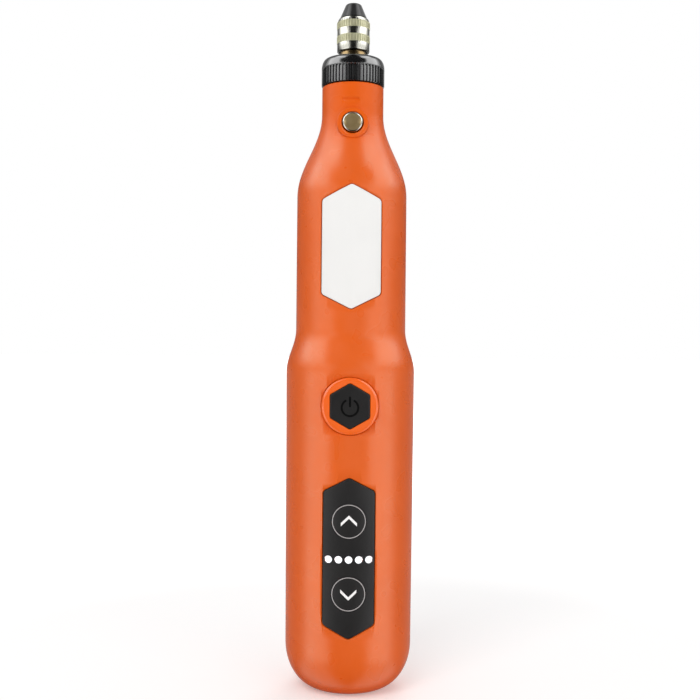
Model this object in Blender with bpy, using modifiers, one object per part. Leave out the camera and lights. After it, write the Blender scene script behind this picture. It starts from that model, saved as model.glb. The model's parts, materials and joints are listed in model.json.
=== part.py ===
"""Cordless mini rotary tool, standing on its flat base with its chuck up.

Z runs up the tool's axis from the base and the buttons face -Y. Lengths are in metres. Each piece of
the tool is one object, and a moving piece has its origin on the axis that it moves on.
"""

import math

import bmesh
import bpy
from mathutils import Matrix, Vector

MM = 0.001

# Clearances, overruns and facets
GAP = 0.3 * MM
FINE_GAP = 0.15 * MM
OVERRUN = 2.0 * MM
WELD = 0.001 * MM
CASING_SIDES = 32
LARGE_SIDES = 24
SMALL_SIDES = 16
TINY_SIDES = 10
SHARP_ANGLE = math.radians(35)

# Ball bearings, 5 x 10 x 4 mm
BEARING_RADIUS = 5.0 * MM
BEARING_BORE_RADIUS = 2.5 * MM
BEARING_WIDTH = 4.0 * MM
BEARING_SHIELD = 0.4 * MM
BEARING_RACE_RADIUS = 4.1 * MM
BEARING_INNER_RADIUS = 3.4 * MM

# Motor: a can of 24.4 mm with a 2 mm shaft
MOTOR_RADIUS = 12.2 * MM
MOTOR_LENGTH = 32.0 * MM
MOTOR_CAN_WALL = 0.9 * MM
MOTOR_BOSS_RADIUS = 3.0 * MM
MOTOR_BOSS_LENGTH = 1.5 * MM
MOTOR_SHAFT_RADIUS = 1.0 * MM
MOTOR_CLEARANCE = 0.7 * MM
END_CAP_FLOOR = 1.45 * MM
END_CAP_SPIGOT = 2.0 * MM
END_CAP_RADIUS = 12.0 * MM
END_CAP_BUSH_RADIUS = 2.6 * MM
END_CAP_BUSH_DROP = 1.0 * MM
MAGNET_THICKNESS = 1.8 * MM
MAGNET_LENGTH = 22.0 * MM
MAGNET_HALF_ANGLE = math.radians(62)
MAGNET_BELOW_CAN_TOP = 3.0 * MM
ARMATURE_AIR_GAP = 0.6 * MM
ARMATURE_LENGTH = 17.0 * MM
POLE_COUNT = 3
POLE_HEAD_THICKNESS = 1.4 * MM
POLE_STEM_WIDTH = 2.4 * MM
POLE_HALF_ANGLE = math.radians(48)
ARMATURE_HUB_RADIUS = 3.2 * MM
WINDING_WIDTH = 5.6 * MM
WINDING_OVERHANG = 1.5 * MM
COMMUTATOR_RADIUS = 2.3 * MM
COMMUTATOR_LENGTH = 3.6 * MM
COMMUTATOR_SLIT = 0.4 * MM
COMMUTATOR_ABOVE_FLOOR = 1.6 * MM
BRUSH_TAB_PLACE = 8.25 * MM
BRUSH_TAB_THICKNESS = 0.5 * MM
BRUSH_TAB_WIDTH = 2.6 * MM
BRUSH_TAB_DROP = 4.0 * MM
BRUSH_CARBON_LENGTH = 2.4 * MM

# Battery cell, 18.4 mm across and 65 mm long, standing at the back of the grip
BATTERY_RADIUS = 9.2 * MM
BATTERY_LENGTH = 65.0 * MM
BATTERY_LOW_Z = 14.5 * MM
BATTERY_BUTTON_RADIUS = 4.0 * MM
BATTERY_BUTTON_HEIGHT = 0.6 * MM
BATTERY_CRIMP_DROP = 3.0 * MM
BATTERY_CRIMP_DEPTH = 0.5 * MM
BATTERY_HEADROOM = 4.6 * MM
TAB_THICKNESS = 0.3 * MM
TAB_WIDTH = 7.0 * MM
TAB_LENGTH = 11.0 * MM
TAB_PAST_CELL_AXIS = 3.0 * MM
PAD_WIDTH = 12.0 * MM
PAD_LENGTH = 32.0 * MM
PAD_ABOVE_CELL_BASE = 15.5 * MM

# Casing: two shells that part at the sides
WALL = 1.8 * MM
BASE_FLAT_RADIUS = 7.8 * MM
BASE_CORNER_HEIGHT = 12.0 * MM
GRIP_LOW_RADIUS = 16.8 * MM
GRIP_TAPER = 0.4 * MM
GRIP_SHOULDER_LENGTH = 11.3 * MM
MOTOR_ABOVE_SHOULDER = 1.5 * MM
BARREL_PAST_MOTOR = 2.1 * MM
NECK_SHOULDER_LENGTH = 22.0 * MM
NECK_LENGTH = 7.5 * MM
NOSE_SLEEVE_WALL = 1.0 * MM
BASE_CORNER_STEPS = 5
GRIP_SHOULDER_STEPS = 4
NECK_SHOULDER_STEPS = 7

GRIP_TOP_RADIUS = GRIP_LOW_RADIUS + GRIP_TAPER
GRIP_TOP_Z = BATTERY_LOW_Z + BATTERY_LENGTH + BATTERY_HEADROOM
GRIP_INNER_RADIUS = GRIP_LOW_RADIUS - WALL
BARREL_RADIUS = MOTOR_RADIUS + MOTOR_CLEARANCE + WALL
BARREL_LOW_Z = GRIP_TOP_Z + GRIP_SHOULDER_LENGTH
MOTOR_LOW_Z = BARREL_LOW_Z + MOTOR_ABOVE_SHOULDER
MOTOR_TOP_Z = MOTOR_LOW_Z + MOTOR_LENGTH
BARREL_TOP_Z = MOTOR_TOP_Z + BARREL_PAST_MOTOR
NECK_INNER_RADIUS = BEARING_RADIUS + FINE_GAP + NOSE_SLEEVE_WALL + GAP
NECK_RADIUS = NECK_INNER_RADIUS + WALL
NECK_LOW_Z = BARREL_TOP_Z + NECK_SHOULDER_LENGTH
CASING_TOP_Z = NECK_LOW_Z + NECK_LENGTH
BATTERY_Y = GRIP_INNER_RADIUS - GAP - BATTERY_RADIUS
BATTERY_TOP_Z = BATTERY_LOW_Z + BATTERY_LENGTH

# Ribs, bulkhead and screw bosses inside the casing
RIB_THICKNESS = 1.5 * MM
MOTOR_RIB_INSET = 4.0 * MM
CRADLE_RIB_INSET = 10.0 * MM
BATTERY_STOP_Y = 5.0 * MM
BULKHEAD_THICKNESS = 2.2 * MM
BULKHEAD_HOLE_RADIUS = 3.5 * MM
BEARING_SEAT_WALL = 1.75 * MM
BEARING_LIP = 0.75 * MM
SCREW_RADIUS = 1.0 * MM
SCREW_LENGTH = 10.0 * MM
SCREW_HEAD_RADIUS = 1.9 * MM
SCREW_HEAD_HEIGHT = 1.3 * MM
SCREW_SLOT_WIDTH = 0.5 * MM
SCREW_SLOT_DEPTH = 0.7 * MM
SCREW_HEAD_SEAT_Y = 4.0 * MM
SCREW_BOSS_WALL = 1.35 * MM
LOW_SCREW_X = 9.3 * MM
LOW_SCREW_Z = 9.0 * MM
HIGH_SCREW_X = 9.0 * MM
HIGH_SCREW_ABOVE_BULKHEAD = 2.2 * MM

BULKHEAD_LOW_Z = MOTOR_TOP_Z + GAP
BULKHEAD_TOP_Z = BULKHEAD_LOW_Z + BULKHEAD_THICKNESS
REAR_BEARING_LOW_Z = BULKHEAD_TOP_Z + FINE_GAP
REAR_BEARING_TOP_Z = REAR_BEARING_LOW_Z + BEARING_WIDTH
HIGH_SCREW_Z = BULKHEAD_TOP_Z + HIGH_SCREW_ABOVE_BULKHEAD
FRONT_BOSS_RADIUS = SCREW_RADIUS + FINE_GAP + SCREW_BOSS_WALL
REAR_BOSS_RADIUS = SCREW_HEAD_RADIUS + GAP + SCREW_BOSS_WALL / 2

# White plate on the barrel, a bare six-sided inlay that follows the barrel's curve
INLAY_THICKNESS = 1.0 * MM
INLAY_PROUD = 0.1 * MM
INLAY_CORNER_RADIUS = 1.2 * MM
BADGE_WIDTH = 15.3 * MM
BADGE_LENGTH = 32.2 * MM
BADGE_POINT = 3.9 * MM
BADGE_PAST_BARREL = 1.7 * MM

# Control panel on the grip
PANEL_WIDTH = 13.2 * MM
PANEL_LENGTH = 41.0 * MM
PANEL_POINT = 3.5 * MM
PANEL_LOW_Z = 16.4 * MM
SPEED_UP_Z = 46.4 * MM
SPEED_DOWN_Z = 27.9 * MM
LIGHTS_Z = 36.6 * MM
LIGHT_PITCH = 2.6 * MM
LIGHT_RADIUS = 0.9 * MM
LIGHT_COUNT = 5
LIGHT_BAR_HEIGHT = 2.4 * MM
LIGHT_BAR_THICKNESS = 1.0 * MM
SPEED_BUTTON_RADIUS = 4.37 * MM
SPEED_FLANGE_RADIUS = 5.0 * MM
FLANGE_THICKNESS = 0.8 * MM
STEM_RADIUS = 1.5 * MM
STEM_LENGTH = 0.2 * MM
BUTTON_TRAVEL = 0.4 * MM

# Power button and its raised ring
POWER_BELOW_GRIP_TOP = 8.4 * MM
POWER_RING_RADIUS = 7.45 * MM
POWER_RING_PROUD = 0.6 * MM
POWER_RING_DEPTH = 2.5 * MM
POWER_RING_EDGE = 0.6 * MM
POWER_HEX_WIDTH = 10.4 * MM
POWER_HEX_CORNER = 0.5 * MM
POWER_BUTTON_PROUD = 0.15 * MM
POWER_FLANGE_RADIUS = 6.05 * MM
POWER_BOSS_WALL = 0.8 * MM
POWER_BOSS_DEPTH = 1.7 * MM

# Circuit board and what stands on it
SWITCH_SIZE = 6.0 * MM
SWITCH_HEIGHT = 2.5 * MM
PLUNGER_RADIUS = 1.7 * MM
PLUNGER_PROUD = 0.8 * MM
PLUNGER_LENGTH = 1.6 * MM
SWITCH_WELL_DEPTH = PLUNGER_LENGTH - PLUNGER_PROUD + BUTTON_TRAVEL + GAP
BOARD_THICKNESS = 1.2 * MM
BOARD_WIDTH = 18.0 * MM
BOARD_TONGUE_WIDTH = 12.0 * MM
BOARD_LOW_Z = 3.5 * MM
BOARD_TONGUE_LENGTH = 9.5 * MM
BOARD_PAST_CELL = 2.5 * MM
BOARD_POST_RADIUS = 1.3 * MM
BOARD_POST_X = 7.2 * MM
BOARD_POST_INSET = 3.0 * MM
LIGHT_CHIP_WIDTH = 1.6 * MM
LIGHT_CHIP_HEIGHT = 0.8 * MM
LIGHT_CHIP_THICKNESS = 0.6 * MM
SOCKET_WIDTH = 8.94 * MM
SOCKET_THICKNESS = 3.16 * MM
SOCKET_LENGTH = 7.3 * MM
SOCKET_WALL = 0.35 * MM
SOCKET_LOW_Z = 0.8 * MM
SOCKET_TONGUE_THICKNESS = 0.7 * MM
SOCKET_TONGUE_WIDTH = 6.6 * MM
WIRE_RADIUS = 0.6 * MM
BATTERY_WIRE_X = 2.0 * MM
MOTOR_WIRE_X = 5.5 * MM
WIRE_BEND = 2.4 * MM
ROUTE_STEPS = 4

# Spindle and its lock
SPINDLE_SHOULDER_RADIUS = 3.0 * MM
LOCK_COLLAR_RADIUS = 4.0 * MM
LOCK_COLLAR_LENGTH = 6.2 * MM
SPINDLE_NOSE_RADIUS = 2.1 * MM
SPINDLE_ABOVE_BOSS = 0.4 * MM
SHAFT_IN_SPINDLE = 6.2 * MM
LOCK_BELOW_NECK = 3.5 * MM
LOCK_PIN_RADIUS = 1.0 * MM
LOCK_BUTTON_RADIUS = 2.75 * MM
LOCK_FLANGE_RADIUS = 3.3 * MM
LOCK_FLANGE_THICKNESS = 0.5 * MM
LOCK_DOME = 0.7 * MM
LOCK_BUTTON_PROUD = 0.7 * MM
LOCK_RING_RADIUS = 4.2 * MM
LOCK_RING_PROUD = 0.95 * MM
LOCK_RING_TILT = math.radians(9)
LOCK_LIP = 1.0 * MM
LOCK_FLOOR_THICKNESS = 0.6 * MM
LOCK_TRAVEL = 1.1 * MM
SPRING_WIRE_RADIUS = 0.15 * MM
SPRING_RADIUS = 1.75 * MM
SPRING_TURNS = 2
SPRING_POINTS_PER_TURN = 10
SPRING_LENGTH = LOCK_TRAVEL + 2 * SPRING_WIRE_RADIUS * (SPRING_TURNS + 1)

# Nose: threaded sleeve, washer and ribbed cap
NOSE_SLEEVE_LOW_LIP = 0.8 * MM
NOSE_SLEEVE_LIP_RADIUS = 4.4 * MM
NOSE_FLANGE_RADIUS = 7.2 * MM
NOSE_FLANGE_THICKNESS = 1.5 * MM
NOSE_FLANGE_ABOVE_SLEEVE_BASE = 2.3 * MM
NOSE_THREAD_CORE = 6.35 * MM
THREAD_DEPTH = 0.7 * MM
THREAD_PITCH = 1.25 * MM
THREAD_ROOT_SHARE = 0.32
THREAD_CREST_SHARE = 0.1
THREAD_TURNS = 3
THREAD_STEPS = 12
NOSE_CAP_PROUD = 0.2 * MM
NOSE_CAP_LENGTH = 7.2 * MM
NOSE_CAP_CORNER = 1.6 * MM
NOSE_CAP_TOP = 1.0 * MM
NOSE_CAP_HOLE_RADIUS = 4.75 * MM
NOSE_RIB_COUNT = 40
NOSE_RIB_DEPTH = 0.25 * MM
NOSE_RIB_LENGTH = 4.5 * MM
WASHER_THICKNESS = 0.6 * MM
WASHER_INNER_RADIUS = 5.3 * MM
WASHER_RADIUS = 6.9 * MM

# Chuck: brass arbor, dark body, knurled sleeve, nut and three sloping jaws
CHUCK_ABOVE_CAP = 2.15 * MM
ARBOR_RADIUS = 3.6 * MM
ARBOR_FOOT_RADIUS = 3.3 * MM
ARBOR_FOOT_LENGTH = 2.6 * MM
ARBOR_STUB_RADIUS = 2.6 * MM
ARBOR_STUB_LENGTH = 1.5 * MM
SLEEVE_RADIUS = 4.35 * MM
KNURL_PROUD = 0.1 * MM
KNURL_DEPTH = 0.16 * MM
KNURL_COUNT = 24
SLEEVE_LOW_BAND = 2.2 * MM
SLEEVE_LOW_KNURL = 2.0 * MM
SLEEVE_MID_BAND = 1.85 * MM
SLEEVE_HIGH_KNURL = 1.9 * MM
SLEEVE_CHAMFER = 0.9 * MM
SLEEVE_TOP_RADIUS = 3.9 * MM
SLEEVE_EDGE = 0.3 * MM
SLEEVE_LIP = 0.6 * MM
SLEEVE_LIP_RADIUS = 3.15 * MM
CHUCK_BODY_RADIUS = 3.7 * MM
CHUCK_NECK_RADIUS = 3.0 * MM
NUT_LENGTH = 1.35 * MM
NUT_GROOVE_RADIUS = 1.75 * MM
NOSE_CONE_RADIUS = 3.75 * MM
NOSE_CONE_TOP_RADIUS = 2.35 * MM
NOSE_CONE_LENGTH = 4.05 * MM
NOSE_CONE_EDGE = 0.9 * MM
CHUCK_BORE_RADIUS = 1.2 * MM
CHUCK_BORE_DEPTH = 9.1 * MM
JAW_ANGLE = math.radians(15)
JAW_RADIUS = 0.65 * MM
JAW_LENGTH = 6.0 * MM
JAW_TRAVEL = 4.5 * MM
JAW_RECESS = 0.2 * MM
JAW_COUNT = 3
JAW_CLEARANCE = 0.12 * MM
EDGE_STEPS = 3

UP = (0, 0, 0)
FRONT = (math.pi / 2, 0, 0)
BACK = (-math.pi / 2, 0, 0)

FINISHES = {  # sRGB colour, roughness, metallic
    "orange plastic": ("e16120", 0.38, 0.0),
    "bright orange plastic": ("ef6a20", 0.35, 0.0),
    "white plastic": ("f1f0ee", 0.30, 0.0),
    "black plastic": ("26272a", 0.42, 0.0),
    "gloss black plastic": ("1c1d1f", 0.25, 0.0),
    "clear plastic": ("f6f6f2", 0.20, 0.0),
    "nickel": ("cfcdbb", 0.18, 1.0),
    "dark steel": ("3a3a38", 0.25, 1.0),
    "steel": ("b9b7b2", 0.30, 1.0),
    "brass": ("c9a765", 0.25, 1.0),
    "copper": ("b8713f", 0.40, 1.0),
    "green board": ("1f5a3a", 0.45, 0.0),
    "blue wrap": ("2d6fa8", 0.35, 0.0),
    "grey foam": ("6f7276", 0.90, 0.0),
    "red wire": ("b3241d", 0.45, 0.0),
    "black wire": ("1b1b1c", 0.45, 0.0),
    "magnet": ("4a4a4c", 0.60, 0.2),
    "rubber": ("202022", 0.70, 0.0),
}


def clear_scene():
    for obj in list(bpy.data.objects):
        bpy.data.objects.remove(obj)


def collection(name):
    made = bpy.data.collections.new(name)
    bpy.context.scene.collection.children.link(made)
    return made


clear_scene()
PARTS = collection("Cordless rotary tool")
CUTTERS = collection("Cutters")


def linear(value):
    """One sRGB channel as linear light."""
    return value / 12.92 if value <= 0.04045 else ((value + 0.055) / 1.055) ** 2.4


def material_of(name, kind):
    colour, roughness, metallic = FINISHES[kind]
    material = bpy.data.materials.new(name + " " + kind)
    material.use_nodes = True
    shader = material.node_tree.nodes["Principled BSDF"]
    rgb = [linear(int(colour[i : i + 2], 16) / 255) for i in (0, 2, 4)]
    shader.inputs["Base Color"].default_value = (*rgb, 1)
    shader.inputs["Roughness"].default_value = roughness
    shader.inputs["Metallic"].default_value = metallic
    return material


def add_object(name, data, kind=None, location=(0, 0, 0), facing=UP):
    """A mesh or curve as a piece of this kind of material or, without a kind, as a cutter."""
    obj = bpy.data.objects.new(name, data)
    obj.location = location
    obj.rotation_euler = facing
    if kind:
        data.materials.append(material_of(name, kind))
        PARTS.objects.link(obj)
    else:
        CUTTERS.objects.link(obj)
        obj.hide_render = True
        obj.display_type = "WIRE"
    return obj


def turned(name, outline, sides, kind=None, location=(0, 0, 0), facing=UP):
    """A turned body. Its outline of (radius, height) runs down the outer side.

    The outline goes from axis to axis, or round a ring.
    """
    mesh = bpy.data.meshes.new(name)
    last = len(outline) - 1
    edges = [(i, i + 1) for i in range(last)]
    if outline[0][0] or outline[last][0]:
        edges.append((last, 0))
    mesh.from_pydata([(radius, 0, z) for radius, z in outline], edges, [])
    obj = add_object(name, mesh, kind, location, facing)
    screw = obj.modifiers.new("Turn", "SCREW")
    screw.steps = screw.render_steps = sides
    screw.use_merge_vertices = True
    screw.merge_threshold = WELD
    return obj


def ring(inner, outer, low, high):
    """The outline of a plain ring."""
    return [(outer, high), (outer, low), (inner, low), (inner, high)]


def disc(radius, low, high):
    """The outline of a plain cylinder."""
    return [(0, high), (radius, high), (radius, low), (0, low)]


def rod(name, radius, low, high, sides, kind=None, location=(0, 0, 0), facing=UP):
    """A cylinder along its own Z, from low to high."""
    bm = bmesh.new()
    middle = Matrix.Translation((0, 0, (low + high) / 2))
    bmesh.ops.create_cone(
        bm, cap_ends=True, segments=sides, radius1=radius, radius2=radius, depth=high - low, matrix=middle
    )
    return add_object(name, mesh_from(bm, name), kind, location, facing)


def box(name, low, high, kind=None):
    """A box between two corners."""
    low, high = Vector(low), Vector(high)
    bm = bmesh.new()
    size = Matrix.Diagonal((*(high - low), 1))
    bmesh.ops.create_cube(bm, size=1, matrix=Matrix.Translation((low + high) / 2) @ size)
    return add_object(name, mesh_from(bm, name), kind)


def mesh_from(bm, name):
    mesh = bpy.data.meshes.new(name)
    bm.to_mesh(mesh)
    bm.free()
    return mesh


def plate(name, outlines, low, high, kind=None, location=(0, 0, 0), facing=UP):
    """Flat outlines filled and thickened along their own Z, from low to high.

    An outline inside another is a hole.
    """
    curve = bpy.data.curves.new(name, "CURVE")
    curve.dimensions = "2D"
    curve.fill_mode = "BOTH"
    curve.extrude = (high - low) / 2
    for outline in outlines:
        spline = curve.splines.new("POLY")
        spline.points.add(len(outline) - 1)
        for point, (x, y) in zip(spline.points, outline):
            point.co = (x, y, 0, 1)
        spline.use_cyclic_u = True
    flat = bpy.data.objects.new(name, curve)
    CUTTERS.objects.link(flat)
    graph = bpy.context.evaluated_depsgraph_get()
    bm = bmesh.new()
    bm.from_mesh(bpy.data.meshes.new_from_object(flat.evaluated_get(graph)))
    bpy.data.objects.remove(flat)
    bmesh.ops.remove_doubles(bm, verts=bm.verts, dist=WELD)
    bmesh.ops.translate(bm, verts=bm.verts, vec=(0, 0, (low + high) / 2))
    bmesh.ops.recalc_face_normals(bm, faces=bm.faces)
    return add_object(name, mesh_from(bm, name), kind, location, facing)


def boolean(obj, operation, others):
    """Cuts or joins with all of the others in one exact step."""
    group = bpy.data.collections.new(f"{operation.title()} {obj.name}")
    CUTTERS.children.link(group)
    for other in others:
        group.objects.link(other)
    modifier = obj.modifiers.new(group.name, "BOOLEAN")
    modifier.operation = operation
    modifier.solver = "EXACT"
    modifier.operand_type = "COLLECTION"
    modifier.collection = group
    return obj


def cut(obj, *others):
    return boolean(obj, "DIFFERENCE", others)


def join(obj, *others):
    return boolean(obj, "UNION", others)


def keep(obj, *others):
    return boolean(obj, "INTERSECT", others)


def finished_mesh(obj):
    """The object's mesh with its modifiers applied, smooth but for its sharp edges."""
    mesh = bpy.data.meshes.new_from_object(obj.evaluated_get(bpy.context.evaluated_depsgraph_get()))
    mesh.shade_smooth()
    mesh.set_sharp_from_angle(angle=SHARP_ANGLE)
    return mesh


def copies(obj, names, locations, angles=None):
    """Turns a modelled piece into several pieces that share its mesh."""
    bpy.context.view_layer.update()
    mesh = finished_mesh(obj)
    mesh.transform(obj.matrix_world)
    bpy.data.objects.remove(obj)
    made = []
    for i, name in enumerate(names):
        piece = bpy.data.objects.new(name, mesh)
        piece.location = locations[i]
        piece.rotation_euler = (0, 0, angles[i] if angles else 0)
        PARTS.objects.link(piece)
        made.append(piece)
    return made


def wire(name, route, radius, kind):
    """A round wire on a smooth curve through the points of its route."""
    points = [Vector(point) for point in route]
    curve = bpy.data.curves.new(name, "CURVE")
    curve.dimensions = "3D"
    curve.bevel_depth = radius
    curve.bevel_resolution = 1
    curve.use_fill_caps = True
    smooth = smooth_route(points)
    spline = curve.splines.new("POLY")
    spline.points.add(len(smooth) - 1)
    for point, place in zip(spline.points, smooth):
        point.co = (*place, 1)
    return add_object(name, curve, kind)


def smooth_route(points):
    """Points along the smooth curve that passes through each of the given ones."""
    ends = [2 * points[0] - points[1], *points, 2 * points[-1] - points[-2]]
    route = []
    for a, b, c, d in zip(ends, ends[1:], ends[2:], ends[3:]):
        for step in range(ROUTE_STEPS):
            t = step / ROUTE_STEPS
            route.append(
                b
                + (c - a) * (t / 2)
                + (2 * a - 5 * b + 4 * c - d) * (t * t / 2)
                + (3 * b - a - 3 * c + d) * (t**3 / 2)
            )
    return [*route, points[-1]]


def rounded(corners, radius):
    """A closed outline with each of its corners rounded."""
    outline = []
    for i, corner in enumerate(corners):
        corner = Vector(corner)
        before = (Vector(corners[i - 1]) - corner).normalized()
        after = (Vector(corners[(i + 1) % len(corners)]) - corner).normalized()
        half = before.angle(after) / 2
        centre = corner + (before + after).normalized() * (radius / math.sin(half))
        start = corner + before * (radius / math.tan(half)) - centre
        end = corner + after * (radius / math.tan(half)) - centre
        turn = math.atan2(start.cross(end), start.dot(end))
        for step in range(EDGE_STEPS + 1):
            outline.append(centre + Matrix.Rotation(turn * step / EDGE_STEPS, 2) @ start)
    return outline


def six_sided(width, length, point):
    """An upright hexagon whose top and bottom come to points of this height."""
    x, y = width / 2, length / 2
    return [(0, y), (-x, y - point), (-x, point - y), (0, -y), (x, point - y), (x, y - point)]


def circle(radius, sides):
    turns = [2 * math.pi * i / sides for i in range(sides)]
    return [
        (radius * math.cos(turn), radius * math.sin(turn)) for turn in turns
    ]


def rounded_edge(radius, height, edge):
    """Points down a rounded outer edge that ends at this radius, below this height."""
    angles = [math.pi / 2 * i / EDGE_STEPS for i in range(EDGE_STEPS + 1)]
    return [(radius - edge + edge * math.sin(a), height - edge + edge * math.cos(a)) for a in angles]


def grooves(name, count, crest, root, low, high):
    """A cutter that leaves this many straight ribs round the axis."""
    zigzag = []
    for i in range(2 * count):
        radius = root if i % 2 else crest
        angle = math.pi * i / count
        zigzag.append((radius * math.cos(angle), radius * math.sin(angle)))
    return plate(name, [circle(crest + OVERRUN, CASING_SIDES), zigzag], low, high)


def thread(name, root, crest, low):
    """A helical ridge from its root radius to its crest radius, right handed, starting at this height."""
    root_half, crest_half = THREAD_ROOT_SHARE * THREAD_PITCH, THREAD_CREST_SHARE * THREAD_PITCH
    bm = bmesh.new()
    corners = [(root, -root_half), (crest, -crest_half), (crest, crest_half), (root, root_half)]
    face = bm.faces.new([bm.verts.new((radius, 0, low + z)) for radius, z in corners])
    steps = THREAD_TURNS * THREAD_STEPS
    bmesh.ops.spin(
        bm,
        geom=[*bm.verts, *bm.edges, face],
        cent=(0, 0, 0),
        axis=(0, 0, 1),
        dvec=(0, 0, THREAD_PITCH / THREAD_STEPS),
        angle=2 * math.pi * THREAD_TURNS,
        steps=steps,
        use_duplicate=False,
    )
    bmesh.ops.recalc_face_normals(bm, faces=bm.faces)
    return add_object(name, mesh_from(bm, name))


def ease(share):
    """A smooth S from 0 to 1."""
    return (1 - math.cos(math.pi * share)) / 2


def casing_radius(z):
    """The casing's outer radius at this height, above the rounded base corner."""
    if z < GRIP_TOP_Z:
        return GRIP_LOW_RADIUS + GRIP_TAPER * (z - BASE_CORNER_HEIGHT) / (GRIP_TOP_Z - BASE_CORNER_HEIGHT)
    if z < BARREL_LOW_Z:
        share = ease((z - GRIP_TOP_Z) / GRIP_SHOULDER_LENGTH)
        return GRIP_TOP_RADIUS + (BARREL_RADIUS - GRIP_TOP_RADIUS) * share
    share = ease(min(max((z - BARREL_TOP_Z) / NECK_SHOULDER_LENGTH, 0), 1))
    return BARREL_RADIUS + (NECK_RADIUS - BARREL_RADIUS) * share


def wall_run(inset, top, low):
    """The casing's wall, drawn in by inset, from one height down to another."""
    neck_step = NECK_SHOULDER_LENGTH / NECK_SHOULDER_STEPS
    grip_step = GRIP_SHOULDER_LENGTH / GRIP_SHOULDER_STEPS
    heights = [NECK_LOW_Z - neck_step * i for i in range(NECK_SHOULDER_STEPS + 1)]
    heights += [BARREL_LOW_Z - grip_step * i for i in range(GRIP_SHOULDER_STEPS + 1)]
    between = [z for z in heights if low < z < top]
    return [(casing_radius(z) - inset, z) for z in [top, *between, low]]


def base_run(inset):
    """The rounded corner of the base, drawn in by inset, down to the middle of the base."""
    wide, tall = GRIP_LOW_RADIUS - BASE_FLAT_RADIUS - inset, BASE_CORNER_HEIGHT - inset
    angles = [math.pi / 2 * i / BASE_CORNER_STEPS for i in range(1, BASE_CORNER_STEPS + 1)]
    across = [BASE_FLAT_RADIUS + wide * math.cos(angle) for angle in angles]
    down = [BASE_CORNER_HEIGHT - tall * math.sin(angle) for angle in angles]
    corner = list(zip(across, down))
    return [*corner, (0, inset)]


def casing_outline(inset, top):
    return [(0, top), *wall_run(inset, top, BASE_CORNER_HEIGHT), *base_run(inset)]


def wall_reach(z, x):
    """How far in front of the axis the casing's inner wall stands at this height and side."""
    return math.sqrt((casing_radius(z) - WALL) ** 2 - x * x)


# Places along Y, as reaches in front of the axis
POWER_Z = GRIP_TOP_Z - POWER_BELOW_GRIP_TOP
PANEL_Z = PANEL_LOW_Z + PANEL_LENGTH / 2
BADGE_Z = BARREL_TOP_Z + BADGE_PAST_BARREL - BADGE_LENGTH / 2
LOCK_Z = NECK_LOW_Z - LOCK_BELOW_NECK
SPEED_FLANGE_REACH = wall_reach(SPEED_DOWN_Z, SPEED_FLANGE_RADIUS) - GAP
STEM_REACH = SPEED_FLANGE_REACH - FLANGE_THICKNESS - STEM_LENGTH
PLUNGER_REACH = STEM_REACH - GAP
SWITCH_REACH = PLUNGER_REACH - PLUNGER_PROUD
BOARD_FRONT_REACH = SWITCH_REACH - SWITCH_HEIGHT - FINE_GAP
BOARD_BACK_REACH = BOARD_FRONT_REACH - BOARD_THICKNESS
POWER_FACE_REACH = casing_radius(POWER_Z) + POWER_RING_PROUD
POWER_RING_BACK_REACH = POWER_FACE_REACH - POWER_RING_DEPTH
POWER_SEAT_REACH = POWER_RING_BACK_REACH - GAP
LIGHTS_HALF_WIDTH = LIGHT_PITCH * (LIGHT_COUNT - 1) / 2 + LIGHT_RADIUS
LIGHT_BAR_REACH = wall_reach(LIGHTS_Z, LIGHTS_HALF_WIDTH + FINE_GAP) - GAP
LOCK_FACE_REACH = casing_radius(LOCK_Z) + LOCK_RING_PROUD
LOCK_CEILING_REACH = LOCK_FACE_REACH - LOCK_LIP
LOCK_FLANGE_REACH = LOCK_CEILING_REACH - FINE_GAP
SPRING_FRONT_REACH = LOCK_FLANGE_REACH - LOCK_FLANGE_THICKNESS - FINE_GAP
SPRING_BACK_REACH = SPRING_FRONT_REACH - SPRING_LENGTH
LOCK_FLOOR_REACH = SPRING_BACK_REACH - FINE_GAP
LOCK_PIN_REACH = LOCK_COLLAR_RADIUS + GAP

# Places along the axis
NOSE_SLEEVE_LOW_Z = NECK_LOW_Z + OVERRUN / 2
FRONT_BEARING_LOW_Z = NOSE_SLEEVE_LOW_Z + NOSE_SLEEVE_LOW_LIP + FINE_GAP
FRONT_BEARING_TOP_Z = FRONT_BEARING_LOW_Z + BEARING_WIDTH
NOSE_FLANGE_LOW_Z = NOSE_SLEEVE_LOW_Z + NOSE_FLANGE_ABOVE_SLEEVE_BASE
CAP_LOW_Z = CASING_TOP_Z + GAP
CAP_TOP_Z = CAP_LOW_Z + NOSE_CAP_LENGTH
CAP_CEILING_Z = CAP_TOP_Z - NOSE_CAP_TOP
WASHER_LOW_Z = CAP_CEILING_Z - FINE_GAP - WASHER_THICKNESS
NOSE_SLEEVE_TOP_Z = WASHER_LOW_Z - GAP
CAP_RADIUS = NECK_RADIUS + NOSE_CAP_PROUD
THREAD_LOW_Z = CAP_LOW_Z + THREAD_PITCH / 2
CHUCK_LOW_Z = CAP_TOP_Z + CHUCK_ABOVE_CAP
LOW_KNURL_Z = CHUCK_LOW_Z + SLEEVE_LOW_BAND
MID_BAND_Z = LOW_KNURL_Z + SLEEVE_LOW_KNURL
HIGH_KNURL_Z = MID_BAND_Z + SLEEVE_MID_BAND
CHAMFER_Z = HIGH_KNURL_Z + SLEEVE_HIGH_KNURL
SLEEVE_TOP_Z = CHAMFER_Z + SLEEVE_CHAMFER
CONE_LOW_Z = SLEEVE_TOP_Z + FINE_GAP
NOSE_TOP_Z = CONE_LOW_Z + NOSE_CONE_LENGTH
JAW_TIP_Z = NOSE_TOP_Z - JAW_RECESS
SLEEVE_BORE_RADIUS = CHUCK_BODY_RADIUS + FINE_GAP
SLEEVE_LIP_Z = SLEEVE_TOP_Z - SLEEVE_LIP
NUT_TOP_Z = SLEEVE_LIP_Z - FINE_GAP
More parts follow.
